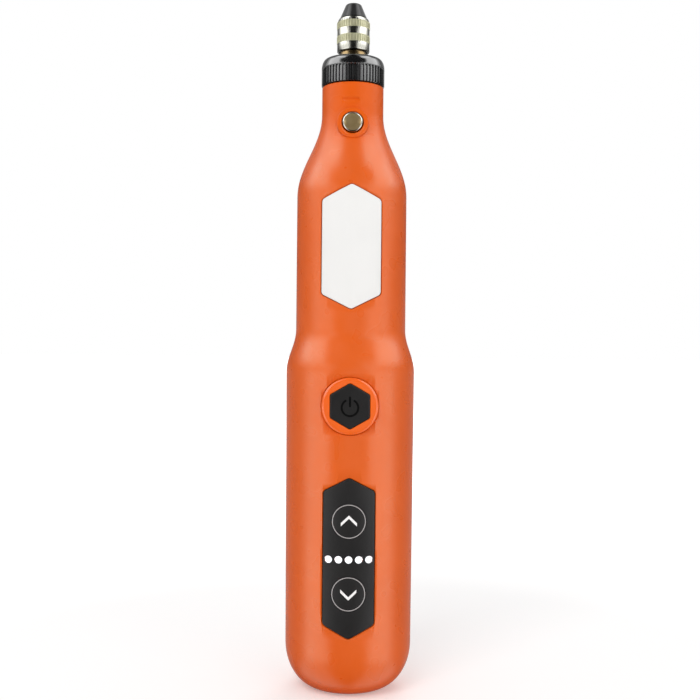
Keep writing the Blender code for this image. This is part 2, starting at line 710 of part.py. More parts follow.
NUT_LOW_Z = NUT_TOP_Z - NUT_LENGTH
ARBOR_TOP_Z = CHUCK_LOW_Z + ARBOR_STUB_LENGTH
SPINDLE_LOW_Z = MOTOR_TOP_Z + MOTOR_BOSS_LENGTH + SPINDLE_ABOVE_BOSS
SHAFT_TOP_Z = SPINDLE_LOW_Z + SHAFT_IN_SPINDLE
SPINDLE_TOP_Z = CHUCK_LOW_Z - 2 * GAP


def seam_side(name, front):
    """A cutter for everything behind the front shell's seam, or before the rear shell's."""
    far, tall = GRIP_TOP_RADIUS + OVERRUN, NOSE_TOP_Z
    if front:
        return box(name, (-far, -GAP / 2, -OVERRUN), (far, far, tall))
    return box(name, (-far, -far, -OVERRUN), (far, GAP / 2, tall))


def screw_places():
    return [
        (-LOW_SCREW_X, LOW_SCREW_Z),
        (LOW_SCREW_X, LOW_SCREW_Z),
        (-HIGH_SCREW_X, HIGH_SCREW_Z),
        (HIGH_SCREW_X, HIGH_SCREW_Z),
    ]


def cavity_outline():
    """The casing's inside: neck bore, rear bearing seat, bulkhead and the motor's two ribs."""
    top, groove = CASING_TOP_Z + OVERRUN, NOSE_FLANGE_RADIUS + GAP
    groove_low, groove_top = NOSE_FLANGE_LOW_Z - GAP, NOSE_FLANGE_LOW_Z + NOSE_FLANGE_THICKNESS + GAP
    seat, lip_z = BEARING_RADIUS + FINE_GAP, REAR_BEARING_TOP_Z + FINE_GAP
    seat_outer, lip = seat + BEARING_SEAT_WALL, seat - BEARING_LIP
    rib = MOTOR_RADIUS + GAP
    high, low = MOTOR_TOP_Z - MOTOR_RIB_INSET, MOTOR_LOW_Z + MOTOR_RIB_INSET
    return [
        (0, top),
        *wall_run(WALL, top, groove_top),
        (groove, groove_top),
        (groove, groove_low),
        *wall_run(WALL, groove_low, BULKHEAD_TOP_Z),
        (seat_outer, BULKHEAD_TOP_Z),
        (seat_outer, lip_z + BEARING_LIP),
        (lip, lip_z + BEARING_LIP),
        (lip, lip_z),
        (seat, lip_z),
        (seat, BULKHEAD_TOP_Z),
        (BULKHEAD_HOLE_RADIUS, BULKHEAD_TOP_Z),
        (BULKHEAD_HOLE_RADIUS, BULKHEAD_LOW_Z),
        *wall_run(WALL, BULKHEAD_LOW_Z, high),
        (rib, high),
        (rib, high - RIB_THICKNESS),
        *wall_run(WALL, high - RIB_THICKNESS, low + RIB_THICKNESS),
        (rib, low + RIB_THICKNESS),
        (rib, low),
        *wall_run(WALL, low, BASE_CORNER_HEIGHT),
        *base_run(WALL),
    ]


def front_shapes():
    """What stands on the inside of the front shell."""
    shapes = []
    for i, (x, z) in enumerate(screw_places()):
        name = f"front_boss_shape_{i + 1}"
        shapes.append(rod(name, FRONT_BOSS_RADIUS, -GAP, GRIP_TOP_RADIUS, TINY_SIDES, None, (x, 0, z), FRONT))
    low = BOARD_LOW_Z + BOARD_TONGUE_LENGTH + BOARD_POST_INSET
    high = PANEL_LOW_Z + PANEL_LENGTH + BOARD_POST_INSET
    places = [(x, z) for z in (low, high) for x in (-BOARD_POST_X, BOARD_POST_X)]
    for i, (x, z) in enumerate(places):
        reach = BOARD_FRONT_REACH + GAP
        name = f"board_post_shape_{i + 1}"
        shapes.append(
            rod(name, BOARD_POST_RADIUS, reach, GRIP_TOP_RADIUS, TINY_SIDES, None, (x, 0, z), FRONT)
        )
    boss = POWER_RING_RADIUS + FINE_GAP + POWER_BOSS_WALL
    back = POWER_SEAT_REACH - POWER_BOSS_DEPTH
    place = (0, 0, POWER_Z)
    shapes.append(rod("power_boss_shape", boss, back, GRIP_TOP_RADIUS, LARGE_SIDES, None, place, FRONT))
    floor = LOCK_FLOOR_REACH - LOCK_FLOOR_THICKNESS
    face = LOCK_FACE_REACH
    place = (0, 0, LOCK_Z)
    shapes.append(rod("lock_boss_shape", LOCK_RING_RADIUS, floor, face, LARGE_SIDES, None, place, FRONT))
    return shapes


def rear_shapes():
    """What stands on the inside of the rear shell: bosses, the battery's cradle and its two stops."""
    shapes = []
    for i, (x, z) in enumerate(screw_places()):
        name = f"rear_boss_shape_{i + 1}"
        shapes.append(rod(name, REAR_BOSS_RADIUS, -GAP, GRIP_TOP_RADIUS, TINY_SIDES, None, (x, 0, z), BACK))
    far = GRIP_TOP_RADIUS
    clear = BATTERY_RADIUS + GAP
    cell = rod("battery_room", clear, 0, GRIP_TOP_Z, LARGE_SIDES, location=(0, BATTERY_Y, 0))
    behind = box("battery_back_room", (-clear / 2, BATTERY_Y, 0), (clear / 2, far + OVERRUN, GRIP_TOP_Z))
    for name, low in (
        ("low_cradle_shape", BATTERY_LOW_Z + CRADLE_RIB_INSET),
        ("high_cradle_shape", BATTERY_TOP_Z - CRADLE_RIB_INSET - RIB_THICKNESS),
    ):
        rib = box(name, (-far, -GAP, low), (far, far, low + RIB_THICKNESS))
        shapes.append(cut(rib, cell, behind))
    tab = TAB_THICKNESS + 2 * GAP
    for name, low in (
        ("low_stop_shape", BATTERY_LOW_Z - tab - RIB_THICKNESS),
        ("high_stop_shape", BATTERY_TOP_Z + tab),
    ):
        shapes.append(box(name, (-far, BATTERY_STOP_Y, low), (far, far, low + RIB_THICKNESS)))
    return shapes


def inlay_room(name, outline, z):
    """The pocket for an inlay: its outline, down to an even depth under the casing's face."""
    grown = [Vector(p) + Vector(p).normalized() * FINE_GAP for p in outline]
    radius = casing_radius(z)
    room = plate(name, [grown], radius / 2, radius + OVERRUN, location=(0, 0, z), facing=FRONT)
    floor = turned(name + "_floor", casing_outline(INLAY_THICKNESS + FINE_GAP, CASING_TOP_Z), CASING_SIDES)
    return cut(room, floor)


def badge_outline():
    return rounded(six_sided(BADGE_WIDTH, BADGE_LENGTH, BADGE_POINT), INLAY_CORNER_RADIUS)


def panel_outline():
    return rounded(six_sided(PANEL_WIDTH, PANEL_LENGTH, PANEL_POINT), INLAY_CORNER_RADIUS)


def panel_holes(prefix):
    """Cutters for the two speed buttons and the five lights."""
    back, front = BOARD_FRONT_REACH, GRIP_TOP_RADIUS + OVERRUN
    holes = []
    for label, z in (("up", SPEED_UP_Z), ("down", SPEED_DOWN_Z)):
        radius = SPEED_BUTTON_RADIUS + FINE_GAP
        holes.append(rod(f"{prefix}_{label}_hole", radius, back, front, SMALL_SIDES, None, (0, 0, z), FRONT))
    for i, x in enumerate(light_places()):
        radius = LIGHT_RADIUS + FINE_GAP
        name, place = f"{prefix}_light_hole_{i + 1}", (x, 0, LIGHTS_Z)
        holes.append(rod(name, radius, back, front, TINY_SIDES, None, place, FRONT))
    return holes


def light_places():
    return [LIGHT_PITCH * (i - (LIGHT_COUNT - 1) / 2) for i in range(LIGHT_COUNT)]


def make_front_housing():
    cavity = cut(turned("front_cavity", cavity_outline(), CASING_SIDES), *front_shapes())
    housing = turned("front_housing", casing_outline(0, CASING_TOP_Z), CASING_SIDES, "orange plastic")
    cut(housing, cavity, seam_side("front_seam", True))

    tilt = (math.pi / 2 - LOCK_RING_TILT, 0, 0)
    place = (0, -LOCK_FACE_REACH, LOCK_Z)
    join(housing, rod("lock_ring_shape", LOCK_RING_RADIUS, -LOCK_LIP * 2, 0, LARGE_SIDES, None, place, tilt))
    return cut(housing, *lock_rooms(), *power_rooms(), *panel_rooms(), socket_room(), *front_screw_rooms())


def lock_rooms():
    """The lock button's opening, its well and the hole for its pin."""
    place, past = (0, 0, LOCK_Z), LOCK_FACE_REACH + OVERRUN
    radii = (LOCK_BUTTON_RADIUS, LOCK_FLANGE_RADIUS, LOCK_PIN_RADIUS)
    button, well, pin = (radius + FINE_GAP for radius in radii)
    return [
        rod("lock_opening", button, LOCK_FLANGE_REACH, past, SMALL_SIDES, None, place, FRONT),
        rod("lock_well", well, LOCK_FLOOR_REACH, LOCK_CEILING_REACH, SMALL_SIDES, None, place, FRONT),
        rod("lock_pin_hole", pin, LOCK_PIN_RADIUS, LOCK_CEILING_REACH, TINY_SIDES, None, place, FRONT),
    ]


def power_rooms():
    place, past = (0, 0, POWER_Z), POWER_FACE_REACH + OVERRUN
    bezel, flange = POWER_RING_RADIUS + FINE_GAP, POWER_FLANGE_RADIUS + FINE_GAP
    return [
        rod("power_ring_room", bezel, POWER_SEAT_REACH, past, LARGE_SIDES, None, place, FRONT),
        rod("power_flange_room", flange, PLUNGER_REACH, past, SMALL_SIDES, None, place, FRONT),
    ]


def panel_rooms():
    badge = inlay_room("badge_room", badge_outline(), BADGE_Z)
    return [badge, inlay_room("panel_room", panel_outline(), PANEL_Z), *panel_holes("housing")]


def socket_room():
    """The slot in the base for the charging plug."""
    x, front = SOCKET_WIDTH / 2 + GAP, BOARD_BACK_REACH - FINE_GAP + GAP
    back = front - SOCKET_THICKNESS - 2 * GAP
    return box("socket_mouth", (-x, -front, -OVERRUN), (x, -back, WALL + OVERRUN))


def front_screw_rooms():
    radius, deep = SCREW_RADIUS + FINE_GAP, SCREW_LENGTH - SCREW_HEAD_SEAT_Y + 2 * GAP
    return [
        rod(f"front_screw_hole_{i + 1}", radius, -OVERRUN, deep, TINY_SIDES, None, (x, 0, z), FRONT)
        for i, (x, z) in enumerate(screw_places())
    ]


def make_rear_housing():
    cavity = cut(turned("rear_cavity", cavity_outline(), CASING_SIDES), *rear_shapes())
    housing = turned("rear_housing", casing_outline(0, CASING_TOP_Z), CASING_SIDES, "orange plastic")
    return cut(housing, cavity, seam_side("rear_seam", False), *rear_screw_rooms())


def rear_screw_rooms():
    shank, head, past = SCREW_RADIUS + FINE_GAP, SCREW_HEAD_RADIUS + FINE_GAP, GRIP_TOP_RADIUS + OVERRUN
    rooms = []
    for i, (x, z) in enumerate(screw_places()):
        hole, sink = f"rear_screw_hole_{i + 1}", f"screw_sink_{i + 1}"
        rooms.append(rod(hole, shank, -OVERRUN, past, TINY_SIDES, None, (x, 0, z), BACK))
        rooms.append(rod(sink, head, SCREW_HEAD_SEAT_Y, past, TINY_SIDES, None, (x, 0, z), BACK))
    return rooms


def make_screws():
    seat = SCREW_HEAD_SEAT_Y + FINE_GAP
    top = seat + SCREW_HEAD_HEIGHT
    tip = seat - SCREW_LENGTH
    outline = [
        (0, top),
        (SCREW_HEAD_RADIUS - SCREW_SLOT_WIDTH, top),
        (SCREW_HEAD_RADIUS, top - SCREW_SLOT_WIDTH),
        (SCREW_HEAD_RADIUS, seat),
        (SCREW_RADIUS, seat),
        (SCREW_RADIUS, tip + SCREW_RADIUS),
        (0, tip),
    ]
    screw = turned("screw_pattern", outline, TINY_SIDES, "steel", facing=BACK)
    arm, half = SCREW_HEAD_RADIUS * 2 / 3, SCREW_SLOT_WIDTH / 2
    floor = top - SCREW_SLOT_DEPTH
    cut(
        screw,
        box("screw_slot_across", (-arm, floor, -half), (arm, top + OVERRUN, half)),
        box("screw_slot_upright", (-half, floor, -arm), (half, top + OVERRUN, arm)),
    )
    places = [(x, 0, z) for x, z in screw_places()]
    copies(screw, [f"housing_screw_{i + 1}" for i in range(len(places))], places)


def make_inlay(name, outline, z, kind):
    """A thin plate with the casing's own curve, a little proud of it."""
    reach = casing_radius(z)
    inlay = plate(name, [outline], reach / 2, reach + OVERRUN, kind, (0, 0, z), FRONT)
    face = turned(name + "_face", casing_outline(-INLAY_PROUD, CASING_TOP_Z), CASING_SIDES)
    floor = turned(name + "_back", casing_outline(INLAY_THICKNESS, CASING_TOP_Z), CASING_SIDES)
    keep(inlay, face)
    return cut(inlay, floor), face


def make_speed_button(name, z, face):
    back = SPEED_FLANGE_REACH - FLANGE_THICKNESS
    outline = [
        (0, GRIP_TOP_RADIUS + OVERRUN),
        (SPEED_BUTTON_RADIUS, GRIP_TOP_RADIUS + OVERRUN),
        (SPEED_BUTTON_RADIUS, SPEED_FLANGE_REACH),
        (SPEED_FLANGE_RADIUS, SPEED_FLANGE_REACH),
        (SPEED_FLANGE_RADIUS, back),
        (STEM_RADIUS, back),
        (STEM_RADIUS, STEM_REACH),
        (0, STEM_REACH),
    ]
    return keep(turned(name, outline, SMALL_SIDES, "gloss black plastic", (0, 0, z), FRONT), face)


def make_light_guide(face):
    half = LIGHTS_HALF_WIDTH
    tall = LIGHT_BAR_HEIGHT / 2
    back = LIGHT_BAR_REACH - LIGHT_BAR_THICKNESS
    low, high = (-half, -LIGHT_BAR_REACH, LIGHTS_Z - tall), (half, -back, LIGHTS_Z + tall)
    guide = box("led_light_guide", low, high, "clear plastic")
    middle, past = (LIGHT_BAR_REACH + back) / 2, GRIP_TOP_RADIUS + OVERRUN
    pins = [
        rod(f"light_pin_{i + 1}", LIGHT_RADIUS, middle, past, TINY_SIDES, None, (x, 0, LIGHTS_Z), FRONT)
        for i, x in enumerate(light_places())
    ]
    return keep(join(guide, *pins), face)


def make_power_button():
    top, back = POWER_FACE_REACH, POWER_RING_BACK_REACH
    rim = rounded_edge(POWER_RING_RADIUS, top, POWER_RING_EDGE)
    outline = [(0, top), *rim, (POWER_RING_RADIUS, back), (0, back)]
    bezel = turned("power_button_ring", outline, LARGE_SIDES, "bright orange plastic", (0, 0, POWER_Z), FRONT)
    corner = POWER_HEX_WIDTH / math.sqrt(3)
    hexagon = six_sided(POWER_HEX_WIDTH, 2 * corner, corner / 2)
    room = [Vector(p) + Vector(p).normalized() * GAP for p in hexagon]
    cut(bezel, plate("power_hex_room", [room], back - OVERRUN, top + OVERRUN, None, (0, 0, POWER_Z), FRONT))

    flange = back - FINE_GAP
    low, high = (flange - FLANGE_THICKNESS / 2), top + POWER_BUTTON_PROUD
    cap = rounded(hexagon, POWER_HEX_CORNER)
    button = plate("power_button", [cap], low, high, "black plastic", (0, 0, POWER_Z), FRONT)
    foot = [
        (0, flange),
        (POWER_FLANGE_RADIUS, flange),
        (POWER_FLANGE_RADIUS, flange - FLANGE_THICKNESS),
        (STEM_RADIUS, flange - FLANGE_THICKNESS),
        (STEM_RADIUS, STEM_REACH),
        (0, STEM_REACH),
    ]
    join(button, turned("power_foot", foot, SMALL_SIDES, None, (0, 0, POWER_Z), FRONT))
    return button


def make_board():
    wide, narrow = BOARD_WIDTH / 2, BOARD_TONGUE_WIDTH / 2
    top = BATTERY_TOP_Z + BOARD_PAST_CELL
    step = BOARD_LOW_Z + BOARD_TONGUE_LENGTH
    outline = [
        (-narrow, BOARD_LOW_Z),
        (narrow, BOARD_LOW_Z),
        (narrow, step),
        (wide, step),
        (wide, top),
        (-wide, top),
        (-wide, step),
        (-narrow, step),
    ]
    plate("main_circuit_board", [outline], BOARD_BACK_REACH, BOARD_FRONT_REACH, "green board", facing=FRONT)


def make_switches():
    half = SWITCH_SIZE / 2
    back = SWITCH_REACH - SWITCH_HEIGHT
    switch = box("switch_pattern", (-half, -SWITCH_REACH, -half), (half, -back, half), "black plastic")
    floor = SWITCH_REACH - SWITCH_WELL_DEPTH
    past = SWITCH_REACH + OVERRUN
    well = rod("switch_well", PLUNGER_RADIUS + FINE_GAP, floor, past, TINY_SIDES, facing=FRONT)
    heights = [POWER_Z, SPEED_UP_Z, SPEED_DOWN_Z]
    labels = ["power", "speed_up", "speed_down"]
    copies(cut(switch, well), [label + "_switch" for label in labels], [(0, 0, z) for z in heights])
    for label, z in zip(labels, heights):
        name, low = label + "_switch_plunger", PLUNGER_REACH - PLUNGER_LENGTH
        rod(name, PLUNGER_RADIUS, low, PLUNGER_REACH, TINY_SIDES, "white plastic", (0, 0, z), FRONT)


def make_light_chips():
    wide, tall = LIGHT_CHIP_WIDTH / 2, LIGHT_CHIP_HEIGHT / 2
    back = BOARD_FRONT_REACH + FINE_GAP
    front = back + LIGHT_CHIP_THICKNESS
    for i, x in enumerate(light_places()):
        low, high = (x - wide, -front, LIGHTS_Z - tall), (x + wide, -back, LIGHTS_Z + tall)
        box(f"speed_light_chip_{i + 1}", low, high, "white plastic")


def make_charging_socket():
    """The charging socket: a flat metal shell, open downwards, round a thin tongue."""
    x, top = SOCKET_WIDTH / 2, SOCKET_LOW_Z + SOCKET_LENGTH
    front = -(BOARD_BACK_REACH - FINE_GAP)
    back = front + SOCKET_THICKNESS
    socket = box("charging_socket", (-x, front, SOCKET_LOW_Z), (x, back, top), "steel")
    inner = (-x + SOCKET_WALL, front + SOCKET_WALL, SOCKET_LOW_Z - OVERRUN)
    outer = (x - SOCKET_WALL, back - SOCKET_WALL, top - SOCKET_WALL)
    cut(socket, box("socket_bore", inner, outer))
    middle, thin, wide = (front + back) / 2, SOCKET_TONGUE_THICKNESS / 2, SOCKET_TONGUE_WIDTH / 2
    low = (-wide, middle - thin, SOCKET_LOW_Z + SOCKET_WALL * 2)
    high = (wide, middle + thin, top - SOCKET_WALL / 2)
    join(socket, box("socket_tongue", low, high))


def make_battery():
    shoulder = BATTERY_LENGTH - BATTERY_BUTTON_HEIGHT
    crimp = shoulder - BATTERY_CRIMP_DROP
    neck = BATTERY_RADIUS - BATTERY_CRIMP_DEPTH
    outline = [
        (0, BATTERY_LENGTH),
        (BATTERY_BUTTON_RADIUS, BATTERY_LENGTH),
        (BATTERY_BUTTON_RADIUS, shoulder),
        (BATTERY_RADIUS, shoulder),
        (BATTERY_RADIUS, crimp + BATTERY_CRIMP_DEPTH),
        (neck, crimp),
        (BATTERY_RADIUS, crimp - BATTERY_CRIMP_DEPTH),
        (BATTERY_RADIUS, 0),
        (0, 0),
    ]
    turned("battery_cell", outline, LARGE_SIDES, "blue wrap", (0, BATTERY_Y, BATTERY_LOW_Z))
    x, back = TAB_WIDTH / 2, BATTERY_Y + TAB_PAST_CELL_AXIS
    front = back - TAB_LENGTH
    high, low = BATTERY_TOP_Z + GAP, BATTERY_LOW_Z - GAP
    box("battery_positive_tab", (-x, front, high), (x, back, high + TAB_THICKNESS), "nickel")
    box("battery_negative_tab", (-x, front, low - TAB_THICKNESS), (x, back, low), "nickel")
    pad_x, pad_z = PAD_WIDTH / 2, BATTERY_LOW_Z + PAD_ABOVE_CELL_BASE
    near, far = -BOARD_BACK_REACH + GAP, BATTERY_Y - BATTERY_RADIUS - GAP
    box("battery_pad", (-pad_x, near, pad_z), (pad_x, far, pad_z + PAD_LENGTH), "grey foam")
    return front


def make_wires(tab_front):
    """Two leads from the cell's tabs to the board, and two from the board to the motor's terminals."""
    board = -BOARD_BACK_REACH + GAP
    x, rise = BATTERY_WIRE_X, WIRE_RADIUS + FINE_GAP
    front = BATTERY_Y - BATTERY_RADIUS - 2 * GAP - WIRE_RADIUS
    bent = WIRE_BEND * math.sin(math.pi / 4)
    high = BATTERY_TOP_Z + GAP + TAB_THICKNESS + rise
    low = BATTERY_LOW_Z - GAP - TAB_THICKNESS - rise
    leads = ((1, high, "battery_positive_wire", "red wire"), (-1, low, "battery_negative_wire", "black wire"))
    for side, level, name, kind in leads:
        route = [
            (side * x, tab_front + WIRE_BEND, level),
            (side * x, tab_front, level),
            (side * x, front, level - side * WIRE_BEND / 2),
            (side * x, board + WIRE_BEND, level - side * WIRE_BEND),
            (side * x, board + bent, level - side * (WIRE_BEND + bent)),
            (side * x, board, level - side * 2 * WIRE_BEND),
        ]
        wire(name, route, WIRE_RADIUS, kind)
    start = BATTERY_TOP_Z - WIRE_BEND
    end = MOTOR_LOW_Z - BRUSH_TAB_DROP - GAP
    leads = ((-1, "motor_positive_wire", "red wire"), (1, "motor_negative_wire", "black wire"))
    for side, name, kind in leads:
        near, far = side * MOTOR_WIRE_X, side * BRUSH_TAB_PLACE
        route = [
            (near, board, start),
            (near, board + WIRE_BEND / 2, start + WIRE_BEND / 4),
            (near, board + WIRE_BEND, start + WIRE_BEND),
            ((near + far) / 2, board / 2, (start + end) / 2),
            (far, 0, end - WIRE_BEND),
            (far, 0, end),
        ]
        wire(name, route, WIRE_RADIUS, kind)


def make_motor():
    can_low, top, bore = MOTOR_LOW_Z + END_CAP_FLOOR + FINE_GAP, MOTOR_TOP_Z, MOTOR_RADIUS - MOTOR_CAN_WALL
    hole, boss_top = MOTOR_SHAFT_RADIUS + FINE_GAP, MOTOR_TOP_Z + MOTOR_BOSS_LENGTH
    can = [
        (MOTOR_BOSS_RADIUS, boss_top),
        (MOTOR_BOSS_RADIUS, top),
        (MOTOR_RADIUS, top),
        (MOTOR_RADIUS, can_low),
        (bore, can_low),
        (bore, top - MOTOR_CAN_WALL),
        (hole, top - MOTOR_CAN_WALL),
        (hole, boss_top),
    ]
    turned("motor_can", can, LARGE_SIDES, "steel")

    floor, spigot = MOTOR_LOW_Z + END_CAP_FLOOR, bore - FINE_GAP
    cap = [
        (spigot, floor + END_CAP_SPIGOT),
        (spigot, floor),
        (END_CAP_RADIUS, floor),
        (END_CAP_RADIUS, MOTOR_LOW_Z),
        (END_CAP_BUSH_RADIUS, MOTOR_LOW_Z),
        (END_CAP_BUSH_RADIUS, MOTOR_LOW_Z - END_CAP_BUSH_DROP),
        (hole, MOTOR_LOW_Z - END_CAP_BUSH_DROP),
        (hole, floor),
        (spigot - END_CAP_BUSH_DROP, floor),
        (spigot - END_CAP_BUSH_DROP, floor + END_CAP_SPIGOT),
    ]
    end_cap = turned("motor_end_cap", cap, LARGE_SIDES, "black plastic")
    for side, label in ((-1, "left"), (1, "right")):
        make_brush(side, label, end_cap, floor)

    shaft_low = MOTOR_LOW_Z - END_CAP_BUSH_DROP + GAP
    turned("motor_shaft", disc(MOTOR_SHAFT_RADIUS, shaft_low, SHAFT_TOP_Z - GAP), TINY_SIDES, "steel")
    commutator_low = floor + COMMUTATOR_ABOVE_FLOOR
    commutator_top = commutator_low + COMMUTATOR_LENGTH
    outline = ring(hole, COMMUTATOR_RADIUS, commutator_low, commutator_top)
    commutator = turned("motor_commutator", outline, SMALL_SIDES, "copper")
    deep, past = (hole + COMMUTATOR_RADIUS) / 2, COMMUTATOR_RADIUS + OVERRUN
    slits = []
    for i in range(POLE_COUNT):
        low = (deep, -COMMUTATOR_SLIT / 2, commutator_low - OVERRUN)
        high = (past, COMMUTATOR_SLIT / 2, commutator_top + OVERRUN)
        slits.append(box(f"commutator_slit_{i + 1}", low, high))
        slits[-1].rotation_euler.z = 2 * math.pi * (i + 1 / 2) / POLE_COUNT
    cut(commutator, *slits)

    magnet_radius = bore - FINE_GAP
    magnet_inner = magnet_radius - MAGNET_THICKNESS
    magnet_top = top - MAGNET_BELOW_CAN_TOP
    for i, facing in enumerate((0, math.pi)):
        outline = arc(magnet_radius, facing - MAGNET_HALF_ANGLE, facing + MAGNET_HALF_ANGLE)
        outline += arc(magnet_inner, facing + MAGNET_HALF_ANGLE, facing - MAGNET_HALF_ANGLE)
        plate(f"motor_magnet_{i + 1}", [outline], magnet_top - MAGNET_LENGTH, magnet_top, "magnet")
    make_armature(magnet_inner - ARMATURE_AIR_GAP, magnet_top - (MAGNET_LENGTH - ARMATURE_LENGTH) / 2, hole)


def arc(radius, start, end):
    steps = SMALL_SIDES // 2
    angles = [start + (end - start) * i / steps for i in range(steps + 1)]
    return [(radius * math.cos(a), radius * math.sin(a)) for a in angles]


def make_brush(side, label, end_cap, floor):
    """A terminal tab through the end cap, with an arm inwards to a carbon block beside the commutator."""
    wide, thin = BRUSH_TAB_WIDTH / 2, BRUSH_TAB_THICKNESS / 2
    out, near = BRUSH_TAB_PLACE, COMMUTATOR_RADIUS + GAP
    arm = floor + GAP
    carbon_top = floor + COMMUTATOR_ABOVE_FLOOR + BRUSH_CARBON_LENGTH

    def block(name, inner, outer, low, high, half, kind=None):
        a, b = sorted((side * inner, side * outer))
        return box(name, (a, -half, low), (b, half, high), kind)

    tab_low, tab_top = MOTOR_LOW_Z - BRUSH_TAB_DROP, arm + BRUSH_TAB_THICKNESS
    brush = block(f"motor_brush_{label}", out - thin, out + thin, tab_low, tab_top, wide, "copper")
    join(
        brush,
        block(f"brush_arm_{label}", near + thin, out, arm, arm + BRUSH_TAB_THICKNESS, wide * 3 / 4),
        block(f"brush_carbon_{label}", near, near + BRUSH_CARBON_LENGTH, arm + thin, carbon_top, wide / 2),
    )
    slot = thin + FINE_GAP
    low, high = MOTOR_LOW_Z - OVERRUN, floor + OVERRUN
    cut(end_cap, block(f"brush_slot_{label}", out - slot, out + slot, low, high, wide + FINE_GAP))


def make_armature(radius, top, bore):
    """Three poles with their windings, wound and varnished into one body."""
    neck = radius - POLE_HEAD_THICKNESS
    low = top - ARMATURE_LENGTH
    armature = turned("motor_armature", ring(bore, ARMATURE_HUB_RADIUS, low, top), SMALL_SIDES, "copper")
    shapes = []
    for i in range(POLE_COUNT):
        angle = 2 * math.pi * i / POLE_COUNT
        middle = (bore + ARMATURE_HUB_RADIUS) / 2
        head = arc(radius, -POLE_HALF_ANGLE, POLE_HALF_ANGLE) + arc(neck, POLE_HALF_ANGLE, -POLE_HALF_ANGLE)
        pole_head = plate(f"pole_head_{i + 1}", [head], low, top)
        half = POLE_STEM_WIDTH / 2
        past = neck + POLE_HEAD_THICKNESS / 2
        stem = box(f"pole_stem_{i + 1}", (middle, -half, low), (past, half, top))
        wide, hang = WINDING_WIDTH / 2, WINDING_OVERHANG
        start, end = ARMATURE_HUB_RADIUS - GAP, neck - POLE_HEAD_THICKNESS
        lobe = [(start, -half), (start + hang, -wide), (end, -wide)]
        lobe += [(x, -y) for x, y in reversed(lobe)]
        winding = plate(f"winding_{i + 1}", [lobe], low - hang, top + hang)
        for shape in (pole_head, stem, winding):
            shape.rotation_euler.z = angle
            shapes.append(shape)
    join(armature, *shapes)


def make_spindle():
    journal = BEARING_BORE_RADIUS - FINE_GAP
    collar_low, collar_top = LOCK_Z - LOCK_COLLAR_LENGTH / 2, LOCK_Z + LOCK_COLLAR_LENGTH / 2
    shoulder_low, shoulder_top = REAR_BEARING_TOP_Z + FINE_GAP, FRONT_BEARING_LOW_Z - FINE_GAP
    bore = MOTOR_SHAFT_RADIUS + FINE_GAP
    outline = [
        (0, SPINDLE_TOP_Z),
        (SPINDLE_NOSE_RADIUS, SPINDLE_TOP_Z),
        (SPINDLE_NOSE_RADIUS, FRONT_BEARING_TOP_Z + FINE_GAP),
        (journal, FRONT_BEARING_TOP_Z + FINE_GAP),
        (journal, shoulder_top),
        (SPINDLE_SHOULDER_RADIUS, shoulder_top),
        (SPINDLE_SHOULDER_RADIUS, collar_top),
        (LOCK_COLLAR_RADIUS, collar_top),
        (LOCK_COLLAR_RADIUS, collar_low),
        (SPINDLE_SHOULDER_RADIUS, collar_low),
        (SPINDLE_SHOULDER_RADIUS, shoulder_low),
        (journal, shoulder_low),
        (journal, SPINDLE_LOW_Z),
        (bore, SPINDLE_LOW_Z),
        (bore, SHAFT_TOP_Z),
        (0, SHAFT_TOP_Z),
    ]
    spindle = turned("spindle", outline, SMALL_SIDES, "steel")
    hole, past = LOCK_PIN_RADIUS + GAP, LOCK_COLLAR_RADIUS + OVERRUN
    along = rod("lock_cross_hole_along", hole, -past, past, TINY_SIDES, None, (0, 0, LOCK_Z), FRONT)
    place, facing = (0, 0, LOCK_Z), (0, math.pi / 2, 0)
    across = rod("lock_cross_hole_across", hole, -past, past, TINY_SIDES, None, place, facing)
    cut(spindle, along, across)


def make_bearing(prefix, low):
    """A shielded ball bearing, as its outer ring with both shields and its inner ring."""
    top = low + BEARING_WIDTH
    lip = BEARING_INNER_RADIUS + FINE_GAP
    outline = [
        (BEARING_RADIUS, top),
        (BEARING_RADIUS, low),
        (lip, low),
        (lip, low + BEARING_SHIELD),
        (BEARING_RACE_RADIUS, low + BEARING_SHIELD),
        (BEARING_RACE_RADIUS, top - BEARING_SHIELD),
        (lip, top - BEARING_SHIELD),
        (lip, top),
    ]
    turned(prefix + "_bearing_outer_ring", outline, SMALL_SIDES, "steel")
    inner = ring(BEARING_BORE_RADIUS, BEARING_INNER_RADIUS, low, top)
    turned(prefix + "_bearing_inner_ring", inner, SMALL_SIDES, "steel")


def make_lock_button():
    face = LOCK_FACE_REACH + LOCK_BUTTON_PROUD
    flange_back = LOCK_FLANGE_REACH - LOCK_FLANGE_THICKNESS
    outline = [
        (0, face),
        *rounded_edge(LOCK_BUTTON_RADIUS, face, LOCK_DOME),
        (LOCK_BUTTON_RADIUS, LOCK_FLANGE_REACH),
        (LOCK_FLANGE_RADIUS, LOCK_FLANGE_REACH),
        (LOCK_FLANGE_RADIUS, flange_back),
        (LOCK_PIN_RADIUS, flange_back),
        (LOCK_PIN_RADIUS, LOCK_PIN_REACH),
        (0, LOCK_PIN_REACH),
    ]
    turned("lock_button", outline, SMALL_SIDES, "steel", (0, 0, LOCK_Z), FRONT)
    make_lock_spring()


